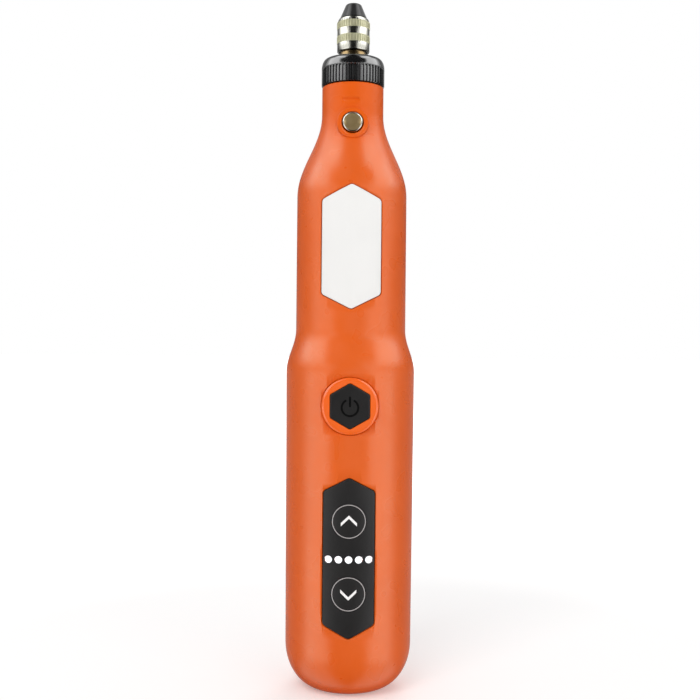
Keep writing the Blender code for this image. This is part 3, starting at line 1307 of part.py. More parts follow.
def make_lock_spring():
    """The lock button's return spring, one unbroken coil round the pin."""
    low, high = SPRING_BACK_REACH + SPRING_WIRE_RADIUS, SPRING_FRONT_REACH - SPRING_WIRE_RADIUS
    count = SPRING_TURNS * SPRING_POINTS_PER_TURN
    curve = bpy.data.curves.new("lock_spring", "CURVE")
    curve.dimensions = "3D"
    curve.bevel_depth = SPRING_WIRE_RADIUS
    curve.bevel_resolution = 1
    curve.use_fill_caps = True
    spline = curve.splines.new("POLY")
    spline.points.add(count)
    places = []
    for i, point in enumerate(spline.points):
        angle = 2 * math.pi * i / SPRING_POINTS_PER_TURN
        reach = low + (high - low) * i / count
        places.append(Vector((SPRING_RADIUS * math.cos(angle), SPRING_RADIUS * math.sin(angle), reach)))
        point.co = (*places[-1], 1)
    apart = [
        (a - b).length - 2 * SPRING_WIRE_RADIUS
        for i, a in enumerate(places)
        for b in places[i + SPRING_POINTS_PER_TURN // 2 :]
    ]
    print(f"lock_spring: least gap to itself {min(apart) / MM:.2f} mm")
    return add_object("lock_spring", curve, "steel", (0, 0, LOCK_Z), FRONT)


def make_nose():
    low, top, seat = NOSE_SLEEVE_LOW_Z, NOSE_SLEEVE_TOP_Z, BEARING_RADIUS + FINE_GAP
    outer = NECK_INNER_RADIUS - GAP
    flange_low, flange_top = NOSE_FLANGE_LOW_Z, NOSE_FLANGE_LOW_Z + NOSE_FLANGE_THICKNESS
    outline = [
        (NOSE_THREAD_CORE, top),
        (NOSE_THREAD_CORE, CASING_TOP_Z + GAP),
        (outer, CASING_TOP_Z + GAP),
        (outer, flange_top),
        (NOSE_FLANGE_RADIUS, flange_top),
        (NOSE_FLANGE_RADIUS, flange_low),
        (outer, flange_low),
        (outer, low),
        (NOSE_SLEEVE_LIP_RADIUS, low),
        (NOSE_SLEEVE_LIP_RADIUS, low + NOSE_SLEEVE_LOW_LIP),
        (seat, low + NOSE_SLEEVE_LOW_LIP),
        (seat, top),
    ]
    sleeve = turned("nose_sleeve", outline, LARGE_SIDES, "black plastic")
    crest = NOSE_THREAD_CORE + THREAD_DEPTH
    join(sleeve, thread("outer_thread", NOSE_THREAD_CORE - GAP, crest, THREAD_LOW_Z + THREAD_PITCH / 2))

    bore = crest + GAP
    outline = [
        (NOSE_CAP_HOLE_RADIUS, CAP_TOP_Z),
        *rounded_edge(CAP_RADIUS, CAP_TOP_Z, NOSE_CAP_CORNER),
        (CAP_RADIUS, CAP_LOW_Z),
        (bore, CAP_LOW_Z),
        (bore, CAP_CEILING_Z),
        (NOSE_CAP_HOLE_RADIUS, CAP_CEILING_Z),
    ]
    cap = turned("nose_cap", outline, LARGE_SIDES, "black plastic")
    rib_top = CAP_LOW_Z + NOSE_RIB_LENGTH
    outside, root = CAP_RADIUS + NOSE_RIB_DEPTH / 4, CAP_RADIUS - NOSE_RIB_DEPTH
    cut(cap, grooves("nose_cap_grooves", NOSE_RIB_COUNT, outside, root, CAP_LOW_Z - OVERRUN, rib_top))
    join(cap, thread("inner_thread", bore + GAP, NOSE_THREAD_CORE + FINE_GAP * 2, THREAD_LOW_Z))
    outline = ring(WASHER_INNER_RADIUS, WASHER_RADIUS, WASHER_LOW_Z, WASHER_LOW_Z + WASHER_THICKNESS)
    turned("nose_cap_washer", outline, LARGE_SIDES, "rubber")


def make_arbor():
    foot, bore = FRONT_BEARING_TOP_Z + GAP, SPINDLE_NOSE_RADIUS + FINE_GAP
    shoulder, floor = CHUCK_LOW_Z, SPINDLE_TOP_Z + FINE_GAP
    outline = [
        (0, ARBOR_TOP_Z),
        (ARBOR_STUB_RADIUS, ARBOR_TOP_Z),
        (ARBOR_STUB_RADIUS, shoulder),
        (ARBOR_RADIUS, shoulder),
        (ARBOR_RADIUS, foot + ARBOR_FOOT_LENGTH),
        (ARBOR_FOOT_RADIUS, foot + ARBOR_FOOT_LENGTH),
        (ARBOR_FOOT_RADIUS, foot),
        (bore, foot),
        (bore, floor),
        (0, floor),
    ]
    turned("chuck_arbor", outline, SMALL_SIDES, "brass")


def make_chuck_body():
    groove_low, groove_top = NUT_LOW_Z - FINE_GAP, NUT_TOP_Z + FINE_GAP
    body_low, bore_low = CHUCK_LOW_Z + GAP, NOSE_TOP_Z - CHUCK_BORE_DEPTH
    stub, stub_top = ARBOR_STUB_RADIUS + FINE_GAP, ARBOR_TOP_Z + FINE_GAP
    outline = [
        (0, bore_low),
        (CHUCK_BORE_RADIUS, bore_low),
        (CHUCK_BORE_RADIUS, NOSE_TOP_Z),
        *rounded_edge(NOSE_CONE_TOP_RADIUS, NOSE_TOP_Z, NOSE_CONE_EDGE),
        (NOSE_CONE_RADIUS, CONE_LOW_Z),
        (CHUCK_NECK_RADIUS, CONE_LOW_Z),
        (CHUCK_NECK_RADIUS, groove_top),
        (NUT_GROOVE_RADIUS, groove_top),
        (NUT_GROOVE_RADIUS, groove_low),
        (CHUCK_BODY_RADIUS, groove_low),
        (CHUCK_BODY_RADIUS, body_low),
        (stub, body_low),
        (stub, stub_top),
        (0, stub_top),
    ]
    body = turned("chuck_body", outline, SMALL_SIDES, "dark steel")
    radius, deep = JAW_RADIUS + JAW_CLEARANCE, JAW_LENGTH + JAW_TRAVEL + FINE_GAP
    holes = []
    for i in range(JAW_COUNT):
        facing = (0, -JAW_ANGLE, 2 * math.pi * i / JAW_COUNT)
        name, place = f"jaw_hole_{i + 1}", (0, 0, JAW_TIP_Z)
        holes.append(rod(name, radius, -deep, OVERRUN, TINY_SIDES, None, place, facing))
    cut(body, *holes)


def make_jaws():
    """Three sloping rods, each cut to a third of the circle where they meet at the axis."""
    facing, tip = (0, -JAW_ANGLE, 0), (0, 0, JAW_TIP_Z)
    jaw = rod("jaw_pattern", JAW_RADIUS, -JAW_LENGTH, OVERRUN, TINY_SIDES, "steel", tip, facing)
    start, far = JAW_CLEARANCE / math.sin(math.pi / JAW_COUNT), SLEEVE_RADIUS
    side = far * math.tan(math.pi / JAW_COUNT)
    wedge = [(start, 0), (start + far, side), (start + far, -side)]
    keep(jaw, plate("jaw_wedge", [wedge[::-1]], JAW_TIP_Z - 2 * JAW_LENGTH, JAW_TIP_Z))
    angles = [2 * math.pi * i / JAW_COUNT for i in range(JAW_COUNT)]
    copies(jaw, [f"chuck_jaw_{i + 1}" for i in range(JAW_COUNT)], [(0, 0, 0)] * JAW_COUNT, angles)


def make_chuck_sleeve():
    knurl = SLEEVE_RADIUS + KNURL_PROUD
    outline = [
        (SLEEVE_TOP_RADIUS, SLEEVE_TOP_Z),
        (knurl, CHAMFER_Z),
        (knurl, HIGH_KNURL_Z),
        (SLEEVE_RADIUS, HIGH_KNURL_Z),
        (SLEEVE_RADIUS, MID_BAND_Z),
        (knurl, MID_BAND_Z),
        (knurl, LOW_KNURL_Z),
        (SLEEVE_RADIUS, LOW_KNURL_Z),
        (SLEEVE_RADIUS, CHUCK_LOW_Z + SLEEVE_EDGE),
        (SLEEVE_RADIUS - SLEEVE_EDGE, CHUCK_LOW_Z),
        (SLEEVE_BORE_RADIUS, CHUCK_LOW_Z),
        (SLEEVE_BORE_RADIUS, SLEEVE_LIP_Z),
        (SLEEVE_LIP_RADIUS, SLEEVE_LIP_Z),
        (SLEEVE_LIP_RADIUS, SLEEVE_TOP_Z),
    ]
    sleeve = turned("chuck_sleeve", outline, LARGE_SIDES, "nickel")
    crest, root = knurl + KNURL_DEPTH / 4, knurl - KNURL_DEPTH
    inset = SLEEVE_EDGE / 2
    cut(
        sleeve,
        grooves("low_knurl", KNURL_COUNT, crest, root, LOW_KNURL_Z + inset, MID_BAND_Z - inset),
        grooves("high_knurl", KNURL_COUNT, crest, root, HIGH_KNURL_Z + inset, CHAMFER_Z - inset),
    )

    def nut_bore(z):
        return (JAW_TIP_Z - z) * math.tan(JAW_ANGLE) + JAW_RADIUS / math.cos(JAW_ANGLE) + FINE_GAP

    outer = SLEEVE_BORE_RADIUS - FINE_GAP
    nut = [(outer, NUT_TOP_Z), (outer, NUT_LOW_Z)]
    nut += [(nut_bore(z), z) for z in (NUT_LOW_Z, NUT_TOP_Z)]
    turned("chuck_nut", nut, SMALL_SIDES, "steel")


def make_tool():
    make_front_housing()
    make_rear_housing()
    make_screws()
    make_inlay("front_badge", badge_outline(), BADGE_Z, "white plastic")
    panel, face = make_inlay("control_panel", panel_outline(), PANEL_Z, "gloss black plastic")
    cut(panel, *panel_holes("panel"))
    make_speed_button("speed_up_button", SPEED_UP_Z, face)
    make_speed_button("speed_down_button", SPEED_DOWN_Z, face)
    make_light_guide(face)
    make_power_button()
    make_board()
    make_switches()
    make_light_chips()
    make_charging_socket()
    make_wires(make_battery())
    make_motor()
    make_spindle()
    make_bearing("rear", REAR_BEARING_LOW_Z)
    make_bearing("front", FRONT_BEARING_LOW_Z)
    make_lock_button()
    make_nose()
    make_arbor()
    make_chuck_body()
    make_jaws()
    make_chuck_sleeve()


def finish_pieces():
    """Applies every piece's modifiers and shades its round faces smooth."""
    bpy.context.view_layer.update()
    live = [obj for obj in PARTS.objects if obj.type == "MESH" and obj.modifiers]
    for obj, mesh in [(obj, finished_mesh(obj)) for obj in live]:
        obj.modifiers.clear()
        obj.data = mesh


make_tool()
finish_pieces()
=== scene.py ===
# %% [markdown]
# # A cordless rotary tool
# This lesson dresses a finished mechanical model of a small engraving tool. The mechanical model is
# loaded first and never changed: it says where each piece is and which body it moves with. Every cell
# then makes one piece or one finish, and says why it is made that way.

# %% Load the mechanical model
import json
import math

import bmesh
import bpy
from mathutils import Matrix, Vector


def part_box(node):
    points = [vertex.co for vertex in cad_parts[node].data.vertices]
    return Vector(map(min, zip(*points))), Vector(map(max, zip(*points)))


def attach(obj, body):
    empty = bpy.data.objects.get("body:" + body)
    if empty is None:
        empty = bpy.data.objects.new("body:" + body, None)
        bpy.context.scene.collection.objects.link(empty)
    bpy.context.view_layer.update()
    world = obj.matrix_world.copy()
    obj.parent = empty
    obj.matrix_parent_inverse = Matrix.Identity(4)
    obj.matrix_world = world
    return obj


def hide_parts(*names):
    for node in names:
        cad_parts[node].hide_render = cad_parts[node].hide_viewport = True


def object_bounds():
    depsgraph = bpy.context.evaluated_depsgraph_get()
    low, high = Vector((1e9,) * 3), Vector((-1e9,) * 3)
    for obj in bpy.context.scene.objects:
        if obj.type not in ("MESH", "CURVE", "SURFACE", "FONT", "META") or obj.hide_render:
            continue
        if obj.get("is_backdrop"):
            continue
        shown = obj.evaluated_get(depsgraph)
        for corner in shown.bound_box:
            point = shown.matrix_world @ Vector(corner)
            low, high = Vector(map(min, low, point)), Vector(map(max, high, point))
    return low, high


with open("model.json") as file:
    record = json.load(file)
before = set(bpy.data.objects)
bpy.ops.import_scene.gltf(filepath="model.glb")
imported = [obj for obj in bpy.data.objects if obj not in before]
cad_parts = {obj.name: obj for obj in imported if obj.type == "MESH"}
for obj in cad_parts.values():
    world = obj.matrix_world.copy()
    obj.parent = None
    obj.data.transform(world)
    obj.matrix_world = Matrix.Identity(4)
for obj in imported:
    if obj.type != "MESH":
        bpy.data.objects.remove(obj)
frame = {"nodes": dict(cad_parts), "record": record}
cad_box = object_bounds()
nodes = frame["nodes"]
MM = 0.001

# %% [markdown]
# ## Sizes of the casing
# The casing is a turned shape: its radius depends only on the height. Writing that radius as one
# function means that the shells, the inlays that follow them and the ink on them all agree.

# %% Sizes of the casing
BASE_FLAT_RADIUS = 7.8 * MM
BASE_CORNER_HEIGHT = 12.0 * MM
GRIP_LOW_RADIUS = 16.8 * MM
GRIP_TOP_RADIUS = 17.18 * MM
GRIP_TOP_Z = 84.1 * MM
BARREL_LOW_Z = 95.4 * MM
BARREL_RADIUS = 14.7 * MM
BARREL_TOP_Z = 131.0 * MM
NECK_LOW_Z = 153.0 * MM
NECK_RADIUS = 8.25 * MM
CASING_TOP_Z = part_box("front_housing")[1].z
SKIN = 1.2 * MM
WELD = 0.002 * MM
OVERRUN = 2.0 * MM


def ease(start, end, share):
    """A value that leaves start and reaches end level, like a cosine wave."""
    return start + (end - start) * (1 - math.cos(math.pi * share)) / 2


def casing_radius(z):
    """The radius of the casing's skin at a height."""
    if z < BASE_CORNER_HEIGHT:
        drop = 1 - max(z, 0) / BASE_CORNER_HEIGHT
        return BASE_FLAT_RADIUS + (GRIP_LOW_RADIUS - BASE_FLAT_RADIUS) * math.sqrt(1 - drop * drop)
    if z < GRIP_TOP_Z:
        share = (z - BASE_CORNER_HEIGHT) / (GRIP_TOP_Z - BASE_CORNER_HEIGHT)
        return GRIP_LOW_RADIUS + (GRIP_TOP_RADIUS - GRIP_LOW_RADIUS) * share
    if z < BARREL_LOW_Z:
        return ease(GRIP_TOP_RADIUS, BARREL_RADIUS, (z - GRIP_TOP_Z) / (BARREL_LOW_Z - GRIP_TOP_Z))
    if z < BARREL_TOP_Z:
        return BARREL_RADIUS
    if z < NECK_LOW_Z:
        return ease(BARREL_RADIUS, NECK_RADIUS, (z - BARREL_TOP_Z) / (NECK_LOW_Z - BARREL_TOP_Z))
    return NECK_RADIUS


print("casing is", round(2 * casing_radius(GRIP_TOP_Z) / MM, 1), "mm across the grip")

# %% [markdown]
# ## Small helpers
# A helper is written once and used by many cells: one puts a mesh in the scene, one turns a profile,
# one lofts rings of points, and one cuts or joins solids. Every finished piece keeps its object at the
# origin, with its place in its mesh, so that patterns on object coordinates stay still.

# %% Helpers for solids
SMOOTH_ANGLE = math.radians(32)


def smooth(data):
    """Shades a mesh smooth where its faces meet at a small angle."""
    data.shade_smooth()
    data.set_sharp_from_angle(angle=SMOOTH_ANGLE)
    return data


def linked(name, data):
    """A new object in the scene."""
    obj = bpy.data.objects.new(name, data)
    bpy.context.scene.collection.objects.link(obj)
    return obj


def shown(mesh, name):
    """A working mesh as an object."""
    data = bpy.data.meshes.new(name)
    mesh.to_mesh(data)
    mesh.free()
    return linked(name, smooth(data))


def solid(mesh, name):
    """A closed working mesh as an object, with every face outwards: a positive volume proves it."""
    bmesh.ops.recalc_face_normals(mesh, faces=mesh.faces)
    if mesh.calc_volume(signed=True) < 0:
        bmesh.ops.reverse_faces(mesh, faces=mesh.faces)
    return shown(mesh, name)


def bridge(mesh, loops, closed=False):
    """Faces from each ring of points to the next, and a face over each open end."""
    for low, high in zip(loops, loops[1:] + loops[:1] if closed else loops[1:]):
        for i in range(len(low)):
            j = (i + 1) % len(low)
            mesh.faces.new((low[i], low[j], high[j], high[i]))
    if not closed:
        mesh.faces.new(loops[0])
        mesh.faces.new(loops[-1])


def turned(name, profile, steps=96, closed=False, place=Matrix()):
    """A solid turned about Z from (radius, height) points, closed from axis to axis or as a ring."""
    mesh = bmesh.new()
    line = [mesh.verts.new((radius, 0, height)) for radius, height in profile]
    edges = [mesh.edges.new(pair) for pair in zip(line, line[1:] + line[:1] if closed else line[1:])]
    whole_turn = {"cent": (0, 0, 0), "axis": (0, 0, 1), "angle": 2 * math.pi, "use_merge": True}
    bmesh.ops.spin(mesh, geom=line + edges, steps=steps, **whole_turn)
    bmesh.ops.remove_doubles(mesh, verts=mesh.verts, dist=WELD)
    mesh.transform(place)
    return solid(mesh, name)


def lofted(name, rings, surface=None, strip=None):
    """A closed solid through rings of points, cut into strips along X and bent by surface(x, y, z)."""
    mesh = bmesh.new()
    bridge(mesh, [[mesh.verts.new(point) for point in ring] for ring in rings])
    if strip:
        count = int(max(abs(vert.co.x) for vert in mesh.verts) / strip)
        for i in range(-count, count + 1):
            cut = {"plane_co": (i * strip, 0, 0), "plane_no": (1, 0, 0), "dist": WELD / 4}
            bmesh.ops.bisect_plane(mesh, geom=[*mesh.verts, *mesh.edges, *mesh.faces], **cut)
    if surface:
        for vert in mesh.verts:
            vert.co = surface(*vert.co)
    return solid(mesh, name)


def baked(obj):
    """Turns an object's modifiers into plain mesh."""
    view = bpy.context.evaluated_depsgraph_get()
    data = bpy.data.meshes.new_from_object(obj.evaluated_get(view))
    obj.modifiers.clear()
    obj.data = smooth(data)
    return obj


def combine(target, tools, operation):
    """Cuts the tools from the target, joins them to it or keeps what they share, and removes them."""
    group = bpy.data.collections.new("tools")
    bpy.context.scene.collection.children.link(group)
    for tool in tools:
        group.objects.link(tool)
    modifier = target.modifiers.new("Combine", "BOOLEAN")
    modifier.operation = operation
    modifier.operand_type = "COLLECTION"
    modifier.collection = group
    modifier.solver = "EXACT"
    baked(target)
    for tool in tools:
        bpy.data.objects.remove(tool)
    bpy.data.collections.remove(group)
    return target


print("helpers for solids are ready")

# %% [markdown]
# ## Outlines and profiles
# An outline is kept as a function of how much wider it is, because the same shape serves as a room, as
# its lip and as the piece inside. A profile is a list of points that a lathe would follow.

# %% Helpers for outlines and profiles


def arc(centre, radius, start, end, steps, rise=None):
    """Points on an arc with its angles in degrees, or on an ellipse with another radius upwards."""
    angles = [math.radians(start + (end - start) * i / steps) for i in range(steps + 1)]
    return [(centre[0] + radius * math.cos(a), centre[1] + (rise or radius) * math.sin(a)) for a in angles]


def circle(radius, steps, centre):
    """A round outline, as a function of how much wider it is."""
    return lambda wider: arc(centre, radius + wider, 0, 360, steps)[:-1]


def rounded(corners, radius, steps=6):
    """A convex outline with round corners, as a function of how much wider it is."""
    corners = [Vector(corner) for corner in corners]

    def outline(wider):
        points = []
        for i, corner in enumerate(corners):
            before = (corner - corners[i - 1]).normalized()
            after = (corners[(i + 1) % len(corners)] - corner).normalized()
            turn = before.angle_signed(after)
            inward = Vector((-before.y, before.x)) * (1 if turn < 0 else -1)
            centre = corner - before * (radius * math.tan(abs(turn) / 2)) + inward * radius
            first = math.atan2(-inward.y, -inward.x)
            for step in range(steps + 1):
                angle = first - turn * step / steps
                points.append(centre + Vector((math.cos(angle), math.sin(angle))) * (radius + wider))
        return [(point.x, point.y) for point in points]

    return outline


def rod(radius, low, high):
    """The profile of a plain rod."""
    return [(0, low), (radius, low), (radius, high), (0, high)]


def plug(radius, low, high, edge, steps):
    """The profile of a rod with a rounded upper edge."""
    return [(0, low), (radius, low), *arc((radius - edge, high - edge), edge, 0, 90, steps), (0, high)]


def on_casing(x, height, z):
    """A flat place, with its height over the casing's skin, moved onto the front of the casing."""
    reach = casing_radius(z) + height
    return Vector((x, -math.sqrt(max(reach * reach - x * x, 0)), z))


def flat_front(x, height, z):
    """A place on a flat face that looks forwards, at a reach from the axis."""
    return Vector((x, -height, z))


def facing_front(z, tilt=0.0, reach=0.0):
    """A place whose own Z points out of the front of the tool."""
    return Matrix.Translation((0, -reach, z)) @ Matrix.Rotation(math.pi / 2 - tilt, 4, "X")


print("helpers for outlines are ready")

# %% [markdown]
# ## The two casing shells
# The real casing is two moulded ABS half shells that meet at the sides. Each half is lofted here from
# the casing's profile, one copy of it for each angle, and the profile sinks a little at the two ends, so
# that the halves meet in a fine moulded groove. The ribs and bosses inside come from the mechanical
# model: its shell is trimmed to its inner part and joined to the smooth skin.

# %% The casing's profile and shells
GROOVE = 0.22 * MM
GROOVE_ANGLE = math.radians(1.1)
GROOVE_MIDDLE = 0.4
SEAM = 0.01 * MM
CORE_DEPTH = 0.8 * MM
COLUMNS = 96


def casing_heights():
    """Heights up the casing: close together where it curves and far apart where it is straight."""
    heights = [BASE_CORNER_HEIGHT * (1 - math.cos(math.radians(5 * i))) for i in range(18)]
    stretches = [
        (BASE_CORNER_HEIGHT, GRIP_TOP_Z, 18),
        (GRIP_TOP_Z, BARREL_LOW_Z, 16),
        (BARREL_LOW_Z, BARREL_TOP_Z, 9),
        (BARREL_TOP_Z, NECK_LOW_Z, 24),
        (NECK_LOW_Z, CASING_TOP_Z - GROOVE, 4),
    ]
    for low, high, count in stretches:
        heights += [low + (high - low) * i / count for i in range(count)]
    return heights + [CASING_TOP_Z - GROOVE]


def skin_profile():
    """The skin's outer points, and the same points moved inwards by its thickness."""
    outer = [(casing_radius(z), z) for z in casing_heights()] + [(NECK_RADIUS - GROOVE, CASING_TOP_Z)]
    inner = []
    for i, (radius, z) in enumerate(outer):
        before, after = outer[max(i - 1, 0)], outer[min(i + 1, len(outer) - 1)]
        along = Vector((after[0] - before[0], after[1] - before[1])).normalized()
        inner.append((radius - SKIN * along.y, z + SKIN * along.x))
    inner[0] = (outer[0][0], SKIN)
    inner[-2:] = [(NECK_RADIUS - SKIN, CASING_TOP_Z)]
    return [(0, 0), *outer], [*reversed(inner), (0, SKIN)]


def half_skin(name, start):
    """Half of the casing's skin, from one seam to the other."""
    outer, inner = skin_profile()
    sunk = {0: GROOVE, 1: GROOVE * GROOVE_MIDDLE}
    near = [0, GROOVE_ANGLE * GROOVE_MIDDLE, GROOVE_ANGLE]
    plain = math.pi - 2 * GROOVE_ANGLE
    turns = near + [GROOVE_ANGLE + plain * i / COLUMNS for i in range(1, COLUMNS)]
    turns += [math.pi - turn for turn in reversed(near)]
    mesh = bmesh.new()
    loops = []
    for i, turn in enumerate(turns):
        depth = sunk.get(min(i, len(turns) - 1 - i), 0)
        points = [(max(radius - depth, 0), z) for radius, z in outer] + inner
        angle = start + turn
        loops.append([mesh.verts.new((r * math.cos(angle), r * math.sin(angle), z)) for r, z in points])
    bridge(mesh, loops)
    bmesh.ops.remove_doubles(mesh, verts=mesh.verts, dist=WELD)
    bmesh.ops.translate(mesh, verts=mesh.verts, vec=(0, SEAM if start == 0 else -SEAM, 0))
    return solid(mesh, name)


def inner_part(node):
    """The ribs, bosses and inner wall of a shell of the mechanical model."""
    mesh = bmesh.new()
    mesh.from_mesh(nodes[node].data)
    bmesh.ops.remove_doubles(mesh, verts=mesh.verts, dist=WELD)
    copy = shown(mesh, node + "_inside")
    top = CASING_TOP_Z - GROOVE
    heights = [z for z in casing_heights() if CORE_DEPTH < z < top]
    profile = [(0, CORE_DEPTH)]
    profile += [(casing_radius(z - CORE_DEPTH / 2) - CORE_DEPTH, z) for z in heights]
    profile += [(NECK_RADIUS - CORE_DEPTH, top), (0, top)]
    return combine(copy, [turned("core", profile)], "INTERSECT")


front_casing = half_skin("front_casing_shell", math.pi)
rear_casing = half_skin("rear_casing_shell", 0)
print("half skins:", len(front_casing.data.polygons), "faces each")

# %% [markdown]
# ## Six-sided rooms for the inlays
# The white plate and the black panel sit in shallow rooms that follow the casing's curve. One outline
# function draws the six-sided shape at any width, so the room, its softened lip and the inlay itself
# are the same outline made a little wider or narrower at different heights over the skin.

# %% Six-sided outlines
BADGE_WIDTH = 15.3 * MM
BADGE_LENGTH = 32.2 * MM
BADGE_POINT = 3.9 * MM
BADGE_Z = 116.6 * MM
PANEL_WIDTH = 13.2 * MM
PANEL_LENGTH = 41.0 * MM
PANEL_POINT = 3.5 * MM
PANEL_Z = 36.9 * MM
INLAY_CORNER = 1.2 * MM
INLAY_GAP = 0.18 * MM
INLAY_PROUD = 0.1 * MM
LIP = 0.12 * MM
STRIP = 0.6 * MM


def six_sided(width, length, point, middle):
    """A tall six-sided outline with a point at its top and bottom."""
    side, tip = width / 2, length / 2
    shoulder = tip - point
    half = [(side, -shoulder), (side, shoulder), (0, tip)]
    corners = half + [(-x, -z) for x, z in half]
    return rounded([(x, z + middle) for x, z in corners], INLAY_CORNER)


def stacked(name, outline, levels, surface=on_casing, strip=STRIP):
    """A solid that follows a surface, from (height over it, extra width) levels of one outline."""
    rings = [[(x, height, z) for x, z in outline(wider)] for height, wider in levels]
    return lofted(name, rings, surface, strip)


def room_levels(gap):
    """Levels of a room for an inlay, with straight walls and a softened lip."""
    return [(-SKIN - OVERRUN / 4, gap), (-LIP, gap), (OVERRUN / 10, gap + LIP + OVERRUN / 10)]


badge_outline = six_sided(BADGE_WIDTH, BADGE_LENGTH, BADGE_POINT, BADGE_Z)
panel_outline = six_sided(PANEL_WIDTH, PANEL_LENGTH, PANEL_POINT, PANEL_Z)
rooms = [stacked("inlay_room", outline, room_levels(INLAY_GAP)) for outline in (badge_outline, panel_outline)]
print("inlay rooms follow the casing")

# %% [markdown]
# ## Openings and the lock collar in the front shell
# The front shell also has a round hole for the power button's ring, a slot in its base for the charging
# socket, a short moulded dash high on the neck and a raised collar round the spindle lock. The collar
# is a turned boss, tilted so that its face follows the slope of the neck.

# %% Openings of the front shell
POWER_Z = 75.7 * MM
RING_RADIUS = 7.35 * MM
RING_GAP = 0.08 * MM
LOCK_Z = 149.5 * MM
COLLAR_RADIUS = 4.2 * MM
COLLAR_REACH = 9.72 * MM
COLLAR_EDGE = 0.4 * MM
COLLAR_TILT = math.radians(9)
LOCK_HOLE_RADIUS = 2.9 * MM
DASH_Z = 156.0 * MM
DASH_X = -0.5 * MM
DASH_LENGTH = 4.6 * MM
DASH_HEIGHT = 0.8 * MM
DASH_DEPTH = 0.38 * MM
SLOT_WIDTH = 9.54 * MM
SLOT_DEPTH = 3.76 * MM
ROUND_END = 0.98

socket_low, socket_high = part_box("charging_socket")
socket_y = (socket_low.y + socket_high.y) / 2


def bar(length, height, x, z):
    """A lying bar as an outline, with ends that are round but for a hair."""
    side, end = length / 2, height / 2
    corners = [(x + side, z - end), (x + side, z + end), (x - side, z + end), (x - side, z - end)]
    return rounded(corners, end * ROUND_END, 8)


ring_room = stacked("ring_room", circle(RING_RADIUS, 96, (0, POWER_Z)), room_levels(RING_GAP))
slot = bar(SLOT_WIDTH, SLOT_DEPTH, 0, 0)
slot_levels = ((-OVERRUN / 4, OVERRUN / 4 + LIP), (LIP, 0), (SKIN + OVERRUN, 0))
slot_rings = [[(x, socket_y + y, z) for x, y in slot(wider)] for z, wider in slot_levels]
dash_levels = [(-DASH_DEPTH, -DASH_DEPTH), (DASH_DEPTH, DASH_DEPTH)]
dash = stacked("neck_dash", bar(DASH_LENGTH, DASH_HEIGHT, DASH_X, DASH_Z), dash_levels, strip=STRIP / 2)
combine(front_casing, [*rooms, ring_room, lofted("socket_slot", slot_rings), dash], "DIFFERENCE")

collar_profile = plug(COLLAR_RADIUS, -OVERRUN, 0, COLLAR_EDGE, 6)
collar = turned("lock_collar", collar_profile, place=facing_front(LOCK_Z, COLLAR_TILT, COLLAR_REACH))
combine(front_casing, [collar, inner_part("front_housing")], "UNION")

hole_profile = rod(LOCK_HOLE_RADIUS, -OVERRUN * 2, -LIP)[:3]
hole_profile += [(LOCK_HOLE_RADIUS + LIP + OVERRUN, OVERRUN), (0, OVERRUN)]
hole = turned("lock_hole", hole_profile, place=facing_front(LOCK_Z, 0, COLLAR_REACH))
combine(front_casing, [hole], "DIFFERENCE")
print("front shell:", len(front_casing.data.polygons), "faces")

# %% [markdown]
# ## Screw holes in the rear shell
# Four small screws hold the shells together from behind. Their heads sit at the bottom of plain round
# holes, which are cut as one group of rods.

# %% Screw holes of the rear shell
SCREW_HOLE_RADIUS = 2.05 * MM
SCREW_SEAT_Y = 4.0 * MM

screw_nodes = [f"housing_screw_{i + 1}" for i in range(4)]
screw_boxes = [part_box(node) for node in screw_nodes]
screw_places = [((low.x + high.x) / 2, (low.z + high.z) / 2) for low, high in screw_boxes]
combine(rear_casing, [inner_part("rear_housing")], "UNION")
sink_profile = rod(SCREW_HOLE_RADIUS, SCREW_SEAT_Y, GRIP_TOP_RADIUS + OVERRUN)
backwards = Matrix.Rotation(-math.pi / 2, 4, "X")
sinks = [
    turned("screw_sink", sink_profile, 32, place=Matrix.Translation((x, 0, z)) @ backwards)
    for x, z in screw_places
]
combine(rear_casing, sinks, "DIFFERENCE")
print("rear shell:", len(rear_casing.data.polygons), "faces")

# %% [markdown]
# ## White plate, control panel and power ring
# The inlays are injection moulded and pressed into their rooms. Each is the room's outline made a
# little narrower towards its face, which rounds its edge, and the panel is then drilled for the two
# speed buttons and the five lights. The ring round the power button is a turned disc with a softened
# edge and a six-sided opening.

# %% White plate, control panel and power ring
INLAY_THICKNESS = 1.0 * MM
INLAY_EDGE = 0.18 * MM
EDGE_CURVE = ((1, 0), (0.62, 0.08), (0.29, 0.29), (0.08, 0.62), (0, 1))
SPEED_UP_Z = 46.4 * MM
SPEED_DOWN_Z = 27.9 * MM
SPEED_RADIUS = 4.37 * MM
SPEED_GAP = 0.09 * MM
LIGHTS_Z = 36.6 * MM
LIGHT_PITCH = 2.6 * MM
LIGHT_RADIUS = 0.9 * MM
LIGHT_GAP = 0.08 * MM
LIGHT_COUNT = 5
RING_BACK = 15.25 * MM
RING_FACE = 17.75 * MM
RING_EDGE = 0.9 * MM
HEX_WIDTH = 10.1 * MM
HEX_CORNER = 0.75 * MM
HEX_GAP = 0.1 * MM


def edge_levels(low, high, edge):
    """Levels of a plate from its back to its face, with a rounded edge."""
    return [(low, 0)] + [(high - edge * down, -edge * inwards) for down, inwards in EDGE_CURVE]


def drill(radius, x, z):
    """A cutter for a round hole through an inlay, with a softened lip."""
    lip = LIP / 2
    levels = [(-OVERRUN, 0), (INLAY_PROUD - lip, 0), (INLAY_PROUD + lip, 2 * lip)]
    return stacked("drill", circle(radius, 64, (x, z)), levels)


